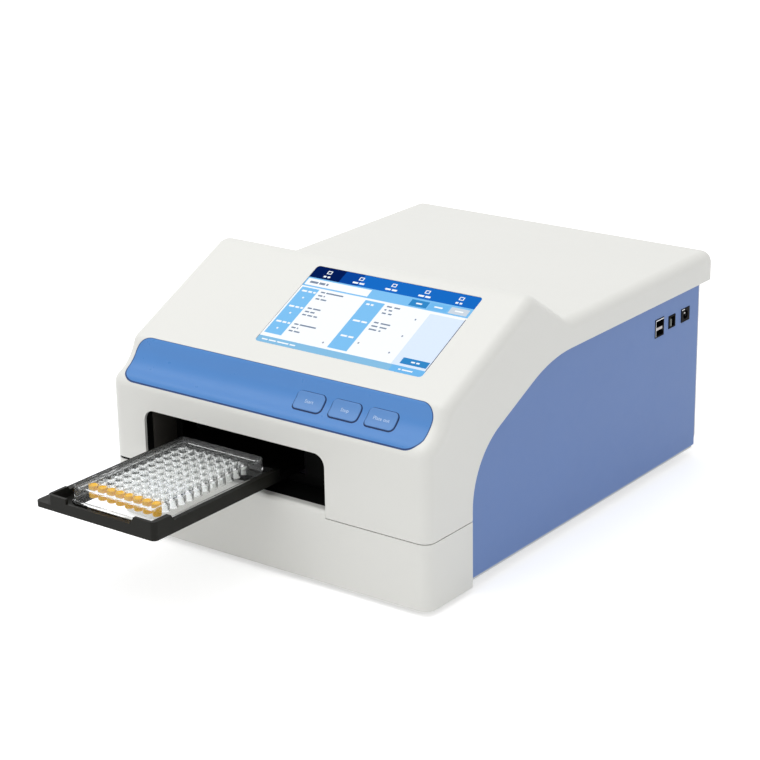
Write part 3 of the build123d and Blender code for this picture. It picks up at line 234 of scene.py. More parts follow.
# Painted shade along the edge of the key channel.
finish("edge_shade_blue", (0.018, 0.055, 0.190), rough=0.4, mirror=0.3)
finish("socket_white", (0.62, 0.58, 0.57), rough=0.4)
finish("socket_grey", (0.16, 0.17, 0.15), rough=0.4)
finish("rubber_black", (0.014, 0.014, 0.014), rough=0.75, mottle=0.1, mirror=0.3)
finish("screen_glass", (0.004, 0.008, 0.02), rough=0.12, mottle=0.05, grain=0.05, vary=0.02,
       mirror=0.15)

# %% The finishes inside
finish("sheet_metal", (0.52, 0.53, 0.54), rough=0.42, metal=0.9, mottle=0.05, grain_mm=1.2)
finish("steel", (0.60, 0.60, 0.60), rough=0.28, metal=1.0, mottle=0.04, grain_mm=0.4)
finish("aluminium", (0.74, 0.75, 0.76), rough=0.36, metal=1.0, mottle=0.03, grain_mm=0.8)
finish("motor_metal", (0.06, 0.06, 0.065), rough=0.4, metal=0.6, mottle=0.08)
finish("circuit_board", (0.015, 0.14, 0.045), rough=0.4, mottle=0.18, coat=0.3)
finish("filter_glass", (0.14, 0.20, 0.55), rough=0.08, mottle=0.5, coat=0.6, vary=0.02)
print("finishes:", len(finishes))

# %% [markdown]
# ## Painting the solids
#
# The record names a finish for every solid. The clear plate and its liquid are built later as
# finer meshes with finishes of their own, so here they only get a plain one.

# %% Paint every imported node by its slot
slot_of = {part["node"]: part["material_slot"] for part in frame["record"]["subparts"]}
for name, node in nodes.items():
    node.data.materials.clear()
    node.data.materials.append(finishes.get(slot_of[name]) or finishes["housing_white"])
print("painted:", len(nodes))

# %% [markdown]
# ## Dark where the light stops
#
# The inner faces of the side panels and the tray's rear end, which stays in the case, get painted
# shade: a dark colour along one axis of the object's own frame, mixed in by
# a Map Range node.

# %% Painted shade beyond a plane
def paint_shade_along(paint_name, axis, clear_at, dark_at, dark):
    """Paint shade on a finish: blend it into a dark colour between two places along an axis, in
    millimetres.
    """
    tree = finishes[paint_name].node_tree
    target = tree.nodes["Principled BSDF"].inputs["Base Color"]
    source = target.links[0].from_socket
    place = tree.nodes.new("ShaderNodeTexCoord")
    parts = tree.nodes.new("ShaderNodeSeparateXYZ")
    size = tree.nodes.new("ShaderNodeMath")
    size.operation = "ABSOLUTE"
    reach = tree.nodes.new("ShaderNodeMapRange")
    reach.inputs["From Min"].default_value = clear_at * MM
    reach.inputs["From Max"].default_value = dark_at * MM
    blend = tree.nodes.new("ShaderNodeMix")
    blend.data_type = "RGBA"
    blend.inputs["B"].default_value = (*dark, 1)
    tree.links.new(place.outputs["Object"], parts.inputs[0])
    tree.links.new(parts.outputs[axis], size.inputs[0])
    tree.links.new(size.outputs[0], reach.inputs["Value"])
    tree.links.new(reach.outputs[0], blend.inputs["Factor"])
    tree.links.new(source, blend.inputs["A"])
    tree.links.new(blend.outputs["Result"], target)


# Painted shade: the inside of the side panels and the rear of the tray, where the case keeps the
# light out.
PANEL_INSIDE_SHADE, TRAY_END_SHADE = (0.004, 0.004, 0.006), (0.0015, 0.0015, 0.0015)
paint_shade_along("panel_blue", "X", 153.3, 152.7, PANEL_INSIDE_SHADE)
paint_shade_along("tray_black", "Y", 152.0, 136.0, TRAY_END_SHADE)
print("two-colour finishes: 2")

# %% [markdown]
# ## Softened edges
#
# Moulded and bent parts have no knife edges. A narrow Bevel modifier rounds the edges that the
# eye meets, and Harden Normals keeps the flat faces flat.

# %% Round the edges of the tray, the feet and some inner parts
SHARP = radians(40)
SOFTENED = {"plate_tray": 0.6, "feet": 0.8, "case_screws": 0.4, "tray_motor": 0.6,
            "lamp_housing": 0.4, "fan_frame": 0.5, "measuring_bridge": 0.4}
for name, width_mm in SOFTENED.items():
    rounding = nodes[name].modifiers.new("softened edges", "BEVEL")
    rounding.width = width_mm * MM
    rounding.segments = 2
    rounding.limit_method = "ANGLE"
    rounding.angle_limit = SHARP
    rounding.harden_normals = True
print("softened:", len(SOFTENED))


# %% [markdown]
# ## Building a mesh
#
# Every piece below is made from points and faces. One helper turns them into an object, gives it
# its finishes, and fastens it to the body that it moves with.

# %% Points and faces to an object
def piece(name, points, faces, materials, body, face_materials=None, smooth=True):
    """A mesh object in metres that rides on a body. face_materials picks one finish a face."""
    mesh = bpy.data.meshes.new(name)
    mesh.from_pydata([tuple(p) for p in points], [], faces)
    for material in materials:
        mesh.materials.append(material)
    if face_materials:
        mesh.polygons.foreach_set("material_index", face_materials)
    mesh.polygons.foreach_set("use_smooth", [smooth] * len(mesh.polygons))
    mesh.update()
    made = bpy.data.objects.new(name, mesh)
    scene.collection.objects.link(made)
    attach(made, body)
    print(name, "-", len(faces), "faces, rides on", body)
    return made


# %% [markdown]
# ## The picture on the screen
#
# The screen shows a plain menu: a header of five tabs, a title row, two columns of labels with
# their values, a side panel with one button, and a footer. On the real display this is light
# behind glass, so each colour also glows a little. The picture is a set of flat rectangles a few
# hundredths of a millimetre apart, laid on the glass. A place on it is given across and down,
# from 0 to 1.

# %% A place on the sloping screen
SCREEN_TILT = radians(26.3)
glass_low, glass_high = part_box("touch_glass")
screen_width = glass_high.x - glass_low.x
SCREEN_LENGTH = 91.5 * MM
slope = Vector((0, cos(SCREEN_TILT), sin(SCREEN_TILT)))
screen_normal = Vector((0, -sin(SCREEN_TILT), cos(SCREEN_TILT)))
top_edge = Vector((glass_low.x, glass_low.y + SCREEN_LENGTH * cos(SCREEN_TILT), glass_high.z))


def on_screen(across, down, lift):
    """The point at a share of the screen's width and length, lift millimetres off the glass."""
    along = Vector((across * screen_width, 0, 0)) - down * SCREEN_LENGTH * slope
    return top_edge + along + lift * MM * screen_normal


print("screen:", round(screen_width, 4), "m wide")


# %% Colours that glow
GLOW = 0.12


def glowing(name, colour):
    """A display colour: the same colour as surface and as light, with no gloss of its own."""
    made = bpy.data.materials.new(name)
    made.use_nodes = True
    tree = made.node_tree
    shader = tree.nodes["Principled BSDF"]
    noise = tree.nodes.new("ShaderNodeTexNoise")
    noise.inputs["Scale"].default_value = 60
    tint = tree.nodes.new("ShaderNodeMix")
    tint.data_type = "RGBA"
    tint.inputs["A"].default_value = (*[c * 0.97 for c in colour], 1)
    tint.inputs["B"].default_value = (*colour, 1)
    tree.links.new(noise.outputs["Fac"], tint.inputs["Factor"])
    tree.links.new(tint.outputs["Result"], shader.inputs["Base Color"])
    shader.inputs["Emission Color"].default_value = (*colour, 1)
    shader.inputs["Emission Strength"].default_value = GLOW
    shader.inputs["Roughness"].default_value = 0.25
    shader.inputs["Specular IOR Level"].default_value = 0.0
    return made


display = {
    "white": glowing("display_white", (0.86, 0.89, 0.92)),
    "pale": glowing("display_pale", (0.66, 0.76, 0.90)),
    "light": glowing("display_light", (0.19, 0.48, 0.80)),
    "sky": glowing("display_sky", (0.15, 0.44, 0.78)),
    "mid": glowing("display_mid", (0.03, 0.22, 0.52)),
    "royal": glowing("display_royal", (0.008, 0.13, 0.50)),
    "deep": glowing("display_deep", (0.003, 0.055, 0.30)),
    "navy": glowing("display_navy", (0.001, 0.010, 0.085)),
    "ink": glowing("display_ink", (0.19, 0.24, 0.33)),
    "grey": glowing("display_grey", (0.55, 0.62, 0.70)),
    "foot": glowing("display_foot", (0.22, 0.47, 0.70)),
}
shades = list(display)
print("display colours:", len(shades))

# %% Rectangles of the menu: colour, layer, left, top, right, bottom
FIRST_LAYER, LAYER = 0.04, 0.03     # millimetres off the glass, and from layer to layer
menu = [
    ("white", 0, 0.0, 0.0, 1.0, 1.0),
    ("royal", 1, 0.0, 0.0, 1.0, 0.147),
    ("deep", 2, 0.185, 0.0, 0.30, 0.147),
    ("navy", 2, 0.0, 0.0, 0.185, 0.147),
    ("light", 1, 0.0, 0.147, 1.0, 0.262),
    ("white", 2, 0.008, 0.162, 0.400, 0.246),
    ("mid", 2, 0.648, 0.168, 0.752, 0.246),
    ("sky", 2, 0.760, 0.168, 0.868, 0.246),
    ("grey", 2, 0.880, 0.168, 0.986, 0.246),
    ("light", 1, 0.011, 0.278, 0.118, 0.884),
    ("light", 1, 0.408, 0.286, 0.526, 0.900),
    ("pale", 1, 0.797, 0.292, 1.0, 0.925),
    ("mid", 2, 0.838, 0.826, 0.990, 0.898),
    ("foot", 1, 0.0, 0.925, 0.81, 1.0),
    ("sky", 1, 0.81, 0.925, 1.0, 1.0),
    ("navy", 2, 0.9965, 0.28, 1.0, 0.925),
]


def words(shade, layer, left, middle, lengths, tall=0.016, gap=0.008):
    """A row of short bars that stands for words."""
    start = left
    for length in lengths:
        menu.append((shade, layer, start, middle - tall / 2, start + length, middle + tall / 2))
        start += length + gap


# %% Bars for words, icons for tabs
for tab, width in enumerate((0.036, 0.070, 0.070, 0.072, 0.034)):
    centre = 0.097 + tab * 0.2
    words("white", 3, centre - width / 2, 0.112, [width * 0.46, width * 0.42], tall=0.020)
    for x0, y0, x1, y1 in (
        (-0.014, 0.036, 0.014, 0.044),
        (-0.014, 0.068, 0.014, 0.076),
        (-0.014, 0.044, -0.009, 0.068),
        (0.009, 0.044, 0.014, 0.068),
    ):
        menu.append(("white", 3, centre + x0, y0, centre + x1, y1))
words("ink", 3, 0.030, 0.204, [0.050, 0.036, 0.012], tall=0.026)
words("white", 3, 0.683, 0.207, [0.034])
words("white", 3, 0.790, 0.207, [0.048])
words("white", 3, 0.910, 0.207, [0.048])
words("white", 3, 0.893, 0.862, [0.022, 0.018])
words("white", 3, 0.03, 0.963, [0.036, 0.044, 0.070, 0.034], tall=0.014)
words("white", 3, 0.855, 0.963, [0.014, 0.060], tall=0.014)
for row, length in ((0.325, 0.078), (0.528, 0.078), (0.728, 0.078)):
    words("white", 3, 0.026, row, [length * 0.4, length * 0.3, length * 0.2], tall=0.020)
    words("white", 3, 0.060, row + 0.082, [0.010], tall=0.018)
for row, length in ((0.330, 0.040), (0.540, 0.084), (0.735, 0.076)):
    words("white", 3, 0.428, row, [length * 0.5, length * 0.4], tall=0.020)
for row, lengths in (
    (0.302, [0.026, 0.105]), (0.346, [0.026, 0.008]), (0.388, [0.024, 0.034]),
    (0.512, [0.026, 0.046]), (0.556, [0.026, 0.026]), (0.598, [0.024, 0.030, 0.022]),
    (0.722, [0.026, 0.100]), (0.766, [0.026, 0.008]), (0.808, [0.024, 0.034]),
):
    words("ink", 2, 0.136, row, lengths)
for row, lengths in (
    (0.310, [0.030, 0.034]), (0.352, [0.012, 0.020]), (0.394, [0.024, 0.020]),
    (0.516, [0.026, 0.056]), (0.560, [0.036, 0.040]), (0.602, [0.044, 0.012]),
):
    words("ink", 2, 0.546, row, lengths, gap=0.014)
for across, down in ((0.742, 0.392), (0.742, 0.603), (0.742, 0.812), (0.365, 0.86), (0.548, 0.78)):
    words("ink", 2, across, down, [0.008], tall=0.018)
print("rectangles on the screen:", len(menu))

# %% The picture as one mesh
points, faces, colours = [], [], []
for shade, layer, left, top, right_side, bottom in menu:
    lift = FIRST_LAYER + layer * LAYER
    first = len(points)
    points += [
        on_screen(left, bottom, lift), on_screen(right_side, bottom, lift),
        on_screen(right_side, top, lift), on_screen(left, top, lift),
    ]
    faces.append((first, first + 1, first + 2, first + 3))
    colours.append(shades.index(shade))
piece("screen_picture", points, faces, [display[s] for s in shades], "casing",
      colours, smooth=False)


# %% [markdown]
# ## Laying shapes on the curved channel
#
# The keys stand in a hollow channel, so everything on it must follow its curve. Each flat shape
# is drawn in the channel's plane and dropped onto the solids below it. Where a line from the
# plane meets the surface, the point is put there, a little proud. A Shrinkwrap modifier would do
# the same, but dropping the points one by one leaves a finished mesh with nothing to apply.

# %% Drop a flat shape onto the channel
strip_low, strip_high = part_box("key_strip")
CHANNEL_RISE, CHANNEL_RUN = 27.5, 26.6
chord = atan2(CHANNEL_RISE, CHANNEL_RUN)
strip_up = Vector((0, cos(chord), sin(chord)))
strip_normal = Vector((0, -sin(chord), cos(chord)))
strip_middle = Vector((0, (strip_low.y + strip_high.y) / 2, (strip_low.z + strip_high.z) / 2))
key_middles = {}
for name in ("start_key", "stop_key", "plate_key"):
    low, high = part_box(name)
    key_middles[name] = (low.x + high.x) / 2
targets = []
for name in ("key_strip", "start_key", "stop_key", "plate_key", "upper_housing"):
    solid = nodes[name].data
    targets.append(BVHTree.FromPolygons(
        [v.co for v in solid.vertices], [list(p.vertices) for p in solid.polygons]
    ))
KEY_RISE = -1.0         # the keys sit this far above the channel's middle, in millimetres
PLAIN_X = -50           # a stretch of the channel with no key in it


def dropped(x_mm, up_mm, proud_mm, read_x=None):
    """The surface point below a place in the channel's plane, set proud of it. The channel is
    as deep everywhere along X, so read_x can name a plain stretch to read its depth from."""
    start = strip_middle + Vector((x_mm * MM, 0, 0)) + up_mm * MM * strip_up + 0.05 * strip_normal
    reader = start if read_x is None else Vector((read_x * MM, start.y, start.z))
    nearest = None
    for tree in targets:
        place, _, _, distance = tree.ray_cast(reader, -strip_normal)
        if place is not None and (nearest is None or distance < nearest):
            nearest = distance
    return start - nearest * strip_normal + proud_mm * MM * strip_normal


print("channel middle:", tuple(round(c, 4) for c in strip_middle))


# %% A ribbon along a closed outline
def rounded_loop(width, length, radius, steps=5):
    """Points of a rounded rectangle about its own middle."""
    loop = []
    for corner in range(4):
        sx = 1 if corner in (0, 3) else -1
        sy = 1 if corner in (0, 1) else -1
        for step in range(steps + 1):
            turn = pi / 2 * (corner + step / steps)
            loop.append((sx * (width / 2 - radius) + radius * cos(turn),
                         sy * (length / 2 - radius) + radius * sin(turn)))
    return loop


def refined(loop, reach):
    """The same closed loop with points no further apart than reach."""
    found = []
    for a, b in zip(loop, loop[1:] + loop[:1]):
        count = max(1, round(((a[0] - b[0]) ** 2 + (a[1] - b[1]) ** 2) ** 0.5 / reach))
        for step in range(count):
            t = step / count
            found.append((a[0] + (b[0] - a[0]) * t, a[1] + (b[1] - a[1]) * t))
    return found


def ribbon(inner, outer, centre_x, centre_up, proud):
    """Points and faces between two loops of as many points, dropped onto the channel."""
    spots = [dropped(centre_x + x, centre_up + y, proud, PLAIN_X) for x, y in inner + outer]
    n = len(inner)
    rings = [(i, (i + 1) % n, n + (i + 1) % n, n + i) for i in range(n)]
    return spots, rings


# %% [markdown]
# ## Key caps
#
# Each key is a hollow cap, a little raised, with soft edges. It is made of loops, one inside the
# other: up the side, over the edge and in to the middle. The cap is smaller than its hole in the
# strip, so a collar in the strip's blue closes the hole round it, and a dark ribbon round the cap
# is painted shade in the groove. It is wider at the right and below, where the cap's shadow falls.

# %% Key caps with softened edges
CAP_W, CAP_L, CAP_R = 26.4, 15.0, 3.6
CAP_LEFT, CAP_UP = -1.9, 0.9
CAP_TOP, CAP_FOOT = 0.5, -2.2
CAP_LOOPS = [(0.0, CAP_FOOT), (0.0, 0.15), (0.12, 0.38), (0.45, CAP_TOP), (2.0, CAP_TOP),
             (4.0, CAP_TOP), (6.0, CAP_TOP)]
SMALLEST_R = 0.8
bodies = {"start_key": "start_button", "stop_key": "stop_button", "plate_key": "plate_button"}


def evened(loop, count=4):
    """The same closed loop with each side cut into count parts."""
    return [
        (a[0] + (b[0] - a[0]) * step / count, a[1] + (b[1] - a[1]) * step / count)
        for a, b in zip(loop, loop[1:] + loop[:1]) for step in range(count)
    ]


for name, middle in key_middles.items():
    cap_x, cap_up = middle / MM + CAP_LEFT, KEY_RISE + CAP_UP
    points, faces = [], []
    for inset, proud in CAP_LOOPS:
        radius = max(CAP_R - inset, SMALLEST_R)
        loop = evened(rounded_loop(CAP_W - 2 * inset, CAP_L - 2 * inset, radius))
        points += [dropped(cap_x + x, cap_up + y, proud, PLAIN_X) for x, y in loop]
    size = len(points) // len(CAP_LOOPS)
    for level in range(len(CAP_LOOPS) - 1):
        for step in range(size):
            one, two = level * size + step, level * size + (step + 1) % size
            faces.append((one, two, two + size, one + size))
    faces.append(tuple(range(len(points) - size, len(points))))
    cap = piece(f"{name}_cap", points, faces, [finishes["key_blue"]], bodies[name])
    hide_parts(name)
print("key caps:", len(key_middles))

# %% Painted shade in the groove, and a blue collar round each key
HOLE_W, HOLE_L, HOLE_R = 31.4, 17.4, 4.6
GAP, GROOVE_SHADE = 0.2, 0.95             # from the cap to the groove's two edges
# The dark ribbon is painted shade; it reaches further to the right and below, where the cap's
# shadow falls.
SHADE_RIGHT, SHADE_DOWN = 0.45, -0.5
COLLAR_PROUD, SHADE_PROUD = 0.03, 0.06
edge = evened(rounded_loop(CAP_W + 2 * GAP, CAP_L + 2 * GAP, CAP_R + GAP))
bank = evened(rounded_loop(CAP_W + 2 * GROOVE_SHADE, CAP_L + 2 * GROOVE_SHADE, CAP_R + 1.0))
hole = evened(rounded_loop(HOLE_W, HOLE_L, HOLE_R))
inner = [(x + CAP_LEFT, y + CAP_UP) for x, y in edge]
outer = [(x + CAP_LEFT + SHADE_RIGHT, y + CAP_UP + SHADE_DOWN) for x, y in bank]
for name, middle in key_middles.items():
    points, faces = ribbon(inner, outer, middle / MM, KEY_RISE, SHADE_PROUD)
    # The dark ribbon round the cap is painted shade in the groove.
    piece(f"{name}_groove_shade", points, faces, [finishes["groove_shade_blue"]], "casing")
    points, faces = ribbon(inner, hole, middle / MM, KEY_RISE, COLLAR_PROUD)
    piece(f"{name}_collar", points, faces, [finishes["strip_blue"]], "casing")
print("grooves:", len(key_middles))

# %% A darker line round the channel: painted shade where the strip meets the housing
STRIP_W, STRIP_L, STRIP_R = 292.0 - 0.1, 40.0 - 0.1, 13.0 - 0.05
# LINE_UP sets the inner loop higher, so the painted shade is wider along the lower edge.
LINE_W, LINE_L, LINE_UP = 1.2, 1.3, 0.45
LINE_PROUD = 0.10
edge_outer = refined(rounded_loop(STRIP_W, STRIP_L, STRIP_R, 8), 2.0)
edge_inner = [
    (x * (STRIP_W - LINE_W) / STRIP_W, y * (STRIP_L - LINE_L) / STRIP_L + LINE_UP)
    for x, y in edge_outer
]
points, faces = ribbon(edge_inner, edge_outer, 0, 0, LINE_PROUD)
piece("channel_edge_shade", points, faces, [finishes["edge_shade_blue"]], "casing")
print("channel edge points:", len(points))


# %% [markdown]
# ## Words on the keys
#
# A key says what it does in one plain word, printed in pale ink. A text object gives the outline
# in Blender's own font. It is turned into a mesh and laid on the hollow cap, so that it rides
# like any other piece.

# %% Plain words printed on the keys
WORD_SIZE, WORD_PROUD = 4.2, 0.06


def printed(name, body, text, middle):
    """A word laid on a key cap."""
    writing = bpy.data.curves.new(name, "FONT")
    writing.body = text
    writing.size = WORD_SIZE
    writing.align_x = writing.align_y = "CENTER"
    writing.resolution_u = 3
    holder = bpy.data.objects.new(name, writing)
    outline = bpy.data.meshes.new_from_object(holder)
    points = [
        dropped(middle / MM + CAP_LEFT + v.co.x, KEY_RISE + CAP_UP + v.co.y,
                CAP_TOP + WORD_PROUD, PLAIN_X)
        for v in outline.vertices
    ]
    faces = [list(p.vertices) for p in outline.polygons]
    bpy.data.objects.remove(holder)
    bpy.data.curves.remove(writing)
    bpy.data.meshes.remove(outline)
    return piece(name, points, faces, [finishes["mark_pale"]], body, smooth=False)


printed("start_word", "start_button", "Start", key_middles["start_key"])
printed("stop_word", "stop_button", "Stop", key_middles["stop_key"])
printed("plate_word", "plate_button", "Plate out", key_middles["plate_key"])
print("words on keys: 3")

# %% [markdown]
# ## Sockets
#
# The three sockets on the right side get what tells them apart: a bright metal edge and a pale
# tongue in the first, a grey tongue in the second, and a bright edge and a pin in the third.
# The edges and tongues are short bars with softened edges, laid on the faces of the solid
# sockets. The pin is turned from a profile.

# %% Bars with softened edges
def bars(name, boxes, soften_mm, finish_name, body):
    """Softened bars in one mesh. Each box is x0, x1, y0, y1, z0, z1 in metres."""
    shape = bmesh.new()
    for x0, x1, y0, y1, z0, z1 in boxes:
        corners = [shape.verts.new(c) for c in (
            (x0, y0, z0), (x1, y0, z0), (x1, y1, z0), (x0, y1, z0),
            (x0, y0, z1), (x1, y0, z1), (x1, y1, z1), (x0, y1, z1),
        )]
        for a, b, c, d in ((3, 2, 1, 0), (4, 5, 6, 7), (0, 1, 5, 4), (1, 2, 6, 5), (2, 3, 7, 6),
                           (3, 0, 4, 7)):
            shape.faces.new((corners[a], corners[b], corners[c], corners[d]))
    bmesh.ops.bevel(shape, geom=shape.edges[:], offset=soften_mm * MM, segments=2, profile=0.5,
                    affect="EDGES")
    shape.verts.index_update()
    points = [v.co.copy() for v in shape.verts]
    faces = [[v.index for v in face.verts] for face in shape.faces]
    shape.free()
    return piece(name, points, faces, [finishes[finish_name]], body)


# %% The first two sockets
IN, OUT = 0.3 * MM, 0.4 * MM        # how far a metal edge goes into its face and stands off it
TONGUE = 8 * MM
low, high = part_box("usb_ports")
middle_z = (low.z + high.z) / 2
bars("usb_rims", [
    (high.x - IN, high.x + OUT, low.y + 0.3 * MM, high.y - 0.8 * MM,
     high.z - 1.1 * MM, high.z - 0.3 * MM),
    (high.x - IN, high.x + 0.2 * MM, low.y + 0.3 * MM, low.y + 0.7 * MM,
     low.z + 0.8 * MM, high.z - 1.1 * MM),
], 0.15, "aluminium", "casing")
bars("usb_tongues", [
    (high.x - TONGUE, high.x + OUT, low.y + 0.7 * MM, high.y - 3.4 * MM,
     middle_z - 1.4 * MM, middle_z + 0.9 * MM),
], 0.3, "socket_white", "casing")
low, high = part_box("data_port")
bars("data_tongue", [
    (high.x - TONGUE, high.x + 0.2 * MM, low.y + 2.2 * MM, low.y + 4.4 * MM,
     low.z + 4.0 * MM, high.z - 2.6 * MM),
], 0.4, "socket_grey", "casing")

# %% The third socket and its pin
PIN_STEPS = 12
PIN_PROFILE = [(1.15, -8.5), (1.15, -1.2), (0.8, -0.6), (0.0, -0.45)]
low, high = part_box("dc_socket")
pin_y, pin_z = (low.y + high.y) / 2, (low.z + high.z) / 2 + 2.2 * MM
points = []
for radius, back_by in PIN_PROFILE:
    for step in range(PIN_STEPS):
        turn = 2 * pi * step / PIN_STEPS
        points.append((high.x + back_by * MM, pin_y + radius * MM * cos(turn),
                       pin_z + radius * MM * sin(turn)))
faces = [
    (ring * PIN_STEPS + step, ring * PIN_STEPS + (step + 1) % PIN_STEPS,
     (ring + 1) * PIN_STEPS + (step + 1) % PIN_STEPS, (ring + 1) * PIN_STEPS + step)
    for ring in range(len(PIN_PROFILE) - 1) for step in range(PIN_STEPS)
]
piece("dc_pin", points, faces, [finishes["steel"]], "casing")
bars("dc_lip", [
    (high.x - IN, high.x + 0.3 * MM, low.y + 0.4 * MM, low.y + 5.0 * MM,
     high.z - 0.9 * MM, high.z - 0.2 * MM),
], 0.15, "aluminium", "casing")

# %% [markdown]
# ## Painted shade in the gap, painted light on the recess wall
#
# Left of the mouth the two mouldings stand 2 mm apart. A dark strip fills that gap from the
# inside: painted shade. It follows the front, the rounded corner and the side, and its square
# section is set inwards at each point of the path. The left wall of the recess behind the mouth
# is lined with a lighter grey sheet: painted light where the light falls on it.

# %% A dark strip in the wide gap left of the mouth: painted shade
shell_low, shell_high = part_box("lower_casing")
GAP_LOW, GAP_TOP = 60.9 * MM, 63.1 * MM
SHADE_STRIP_OUT, SHADE_STRIP_IN = 0.9, 2.3    # from the housing's face, in millimetres
MOUTH_LEFT = -121.5 * MM
CORNER, CORNER_STEPS = 9.5 * MM, 8
centre_x, centre_y = shell_low.x + CORNER, shell_low.y + CORNER
path = [(MOUTH_LEFT, shell_low.y)]
for step in range(CORNER_STEPS + 1):
    turn = pi / 2 * (1 + step / CORNER_STEPS)
    path.append((centre_x + CORNER * cos(turn), centre_y - CORNER * sin(turn)))
path.append((shell_low.x, shell_high.y - 1 * MM))
points, faces = [], []
for x, y in path:
    inward = Vector((max(0, centre_x - x), max(0, centre_y - y), 0))
    inward = Vector((0, 1, 0)) if x > centre_x else inward.normalized()
    if y > centre_y:
        inward = Vector((1, 0, 0))
    for inset, z in ((SHADE_STRIP_OUT, GAP_LOW), (SHADE_STRIP_OUT, GAP_TOP), (SHADE_STRIP_IN, GAP_TOP),
                     (SHADE_STRIP_IN, GAP_LOW)):
        points.append(Vector((x, y, z)) + inward * inset * MM)
for step in range(len(path) - 1):
    for side in range(4):
        a = step * 4 + side
        b = step * 4 + (side + 1) % 4
        faces.append((a, b, b + 4, a + 4))
# The dark strip is painted shade behind the gap.
piece("gap_shade_strip", points, faces, [finishes["black_plastic"]], "casing",
      smooth=False)

# %% A lighter grey sheet on the left wall of the recess: painted light
LINER_WALL = 2.0 * MM
low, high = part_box("mouth_liner")
wall_x = low.x + LINER_WALL
# The sheet is painted light on the black liner's left wall.
bars("lit_recess_cheek", [
    (wall_x - 0.3 * MM, wall_x + 0.25 * MM, low.y + 7 * MM, high.y - 2.2 * MM,
     low.z + 4 * MM, high.z - 2.2 * MM),
], 0.1, "lit_recess_grey", "casing")

# %% [markdown]
# ## The clear plate
#
# A 96-well plate is one thin moulding of clear polystyrene: a skirt that stands on the tray, a
# deck, and wells that hang from the deck and rise a little above it. Each well is made as a tile
# of the deck. A ring of points goes from the tile's square edge in to the well, over its rim, down
# inside, and back up its outside, so that every wall has two faces and bends light as the real
# plate does. In the first row the outside stays within the liquid, so that its colour shows.

# %% Clear plastic
clear = bpy.data.materials.new("clear_plastic")
clear.use_nodes = True
shader = clear.node_tree.nodes["Principled BSDF"]
shader.inputs["Transmission Weight"].default_value = 0.97
shader.inputs["IOR"].default_value = 1.17
shader.inputs["Specular IOR Level"].default_value = 0.85
haze = clear.node_tree.nodes.new("ShaderNodeTexNoise")
haze.inputs["Scale"].default_value = 90
haze_range = clear.node_tree.nodes.new("ShaderNodeMapRange")
haze_range.inputs["To Min"].default_value = 0.02
haze_range.inputs["To Max"].default_value = 0.10
clear.node_tree.links.new(haze.outputs["Fac"], haze_range.inputs["Value"])
clear.node_tree.links.new(haze_range.outputs[0], shader.inputs["Roughness"])
shader.inputs["Base Color"].default_value = (0.97, 0.98, 0.98, 1)
print("clear plastic, IOR", shader.inputs["IOR"].default_value)

# %% Amber liquid
amber = bpy.data.materials.new("amber_liquid")
amber.use_nodes = True
shader = amber.node_tree.nodes["Principled BSDF"]
swirl = amber.node_tree.nodes.new("ShaderNodeTexNoise")
swirl.inputs["Scale"].default_value = 280
mix = amber.node_tree.nodes.new("ShaderNodeMix")
mix.data_type = "RGBA"
mix.inputs["A"].default_value = (0.86, 0.27, 0.004, 1)
mix.inputs["B"].default_value = (1.0, 0.80, 0.06, 1)
amber.node_tree.links.new(swirl.outputs["Fac"], mix.inputs["Factor"])
amber.node_tree.links.new(mix.outputs["Result"], shader.inputs["Base Color"])
shader.inputs["Transmission Weight"].default_value = 0.15
# The glow is painted light: it stands for light passing through the liquid.
shader.inputs["Emission Color"].default_value = (1.0, 0.50, 0.02, 1)
shader.inputs["Emission Strength"].default_value = 0.12
shader.inputs["Roughness"].default_value = 0.15
shader.inputs["IOR"].default_value = 1.33
print("amber liquid, IOR", shader.inputs["IOR"].default_value)

# %% Sizes of the plate
plate_low, plate_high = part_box("microplate")
plate_middle = (plate_low + plate_high) / 2
PITCH = 9 * MM
ROWS, COLUMNS = 8, 12
WELL_STEPS = 24
rim_z = plate_high.z
deck_z = rim_z - 1.6 * MM
under_z = deck_z - 1.0 * MM
well_floor_z = plate_low.z + 3.6 * MM
well_foot_z = plate_low.z + 2.5 * MM
first_x = plate_middle.x - (ROWS - 1) / 2 * PITCH
first_y = plate_middle.y - (COLUMNS - 1) / 2 * PITCH
half_x = (plate_high.x - plate_low.x) / 2
half_y = (plate_high.y - plate_low.y) / 2
DECK_INSET = 2.5 * MM
inside_x, inside_y = half_x - DECK_INSET, half_y - DECK_INSET
well_profile = [(3.9, deck_z), (3.9, rim_z - 0.1 * MM), (3.55, rim_z - 0.1 * MM), (3.45, deck_z),
                (3.25, well_floor_z + 0.4 * MM), (2.8, well_floor_z)]
foot_profile = [(3.9, under_z), (3.7, well_foot_z + 0.4 * MM), (3.3, well_foot_z)]
hidden_foot = [(3.5, under_z), (3.3, well_foot_z + 0.4 * MM), (2.9, well_foot_z)]
turns = [2 * pi * (step + 0.5) / WELL_STEPS for step in range(WELL_STEPS)]
print("deck:", round(2 * inside_x, 4), "by", round(2 * inside_y, 4), "m")


# %% Tiles of deck with a well in each
def tile_edge(turn, x0, x1, y0, y1, cx, cy):
    """Where a ray from the well's middle meets the tile's edge. No ray runs along an axis,
    because the turns start half a step off it."""
    dx, dy = cos(turn), sin(turn)
    reach = min(((x1 if dx > 0 else x0) - cx) / dx, ((y1 if dy > 0 else y0) - cy) / dy)
    return cx + dx * reach, cy + dy * reach


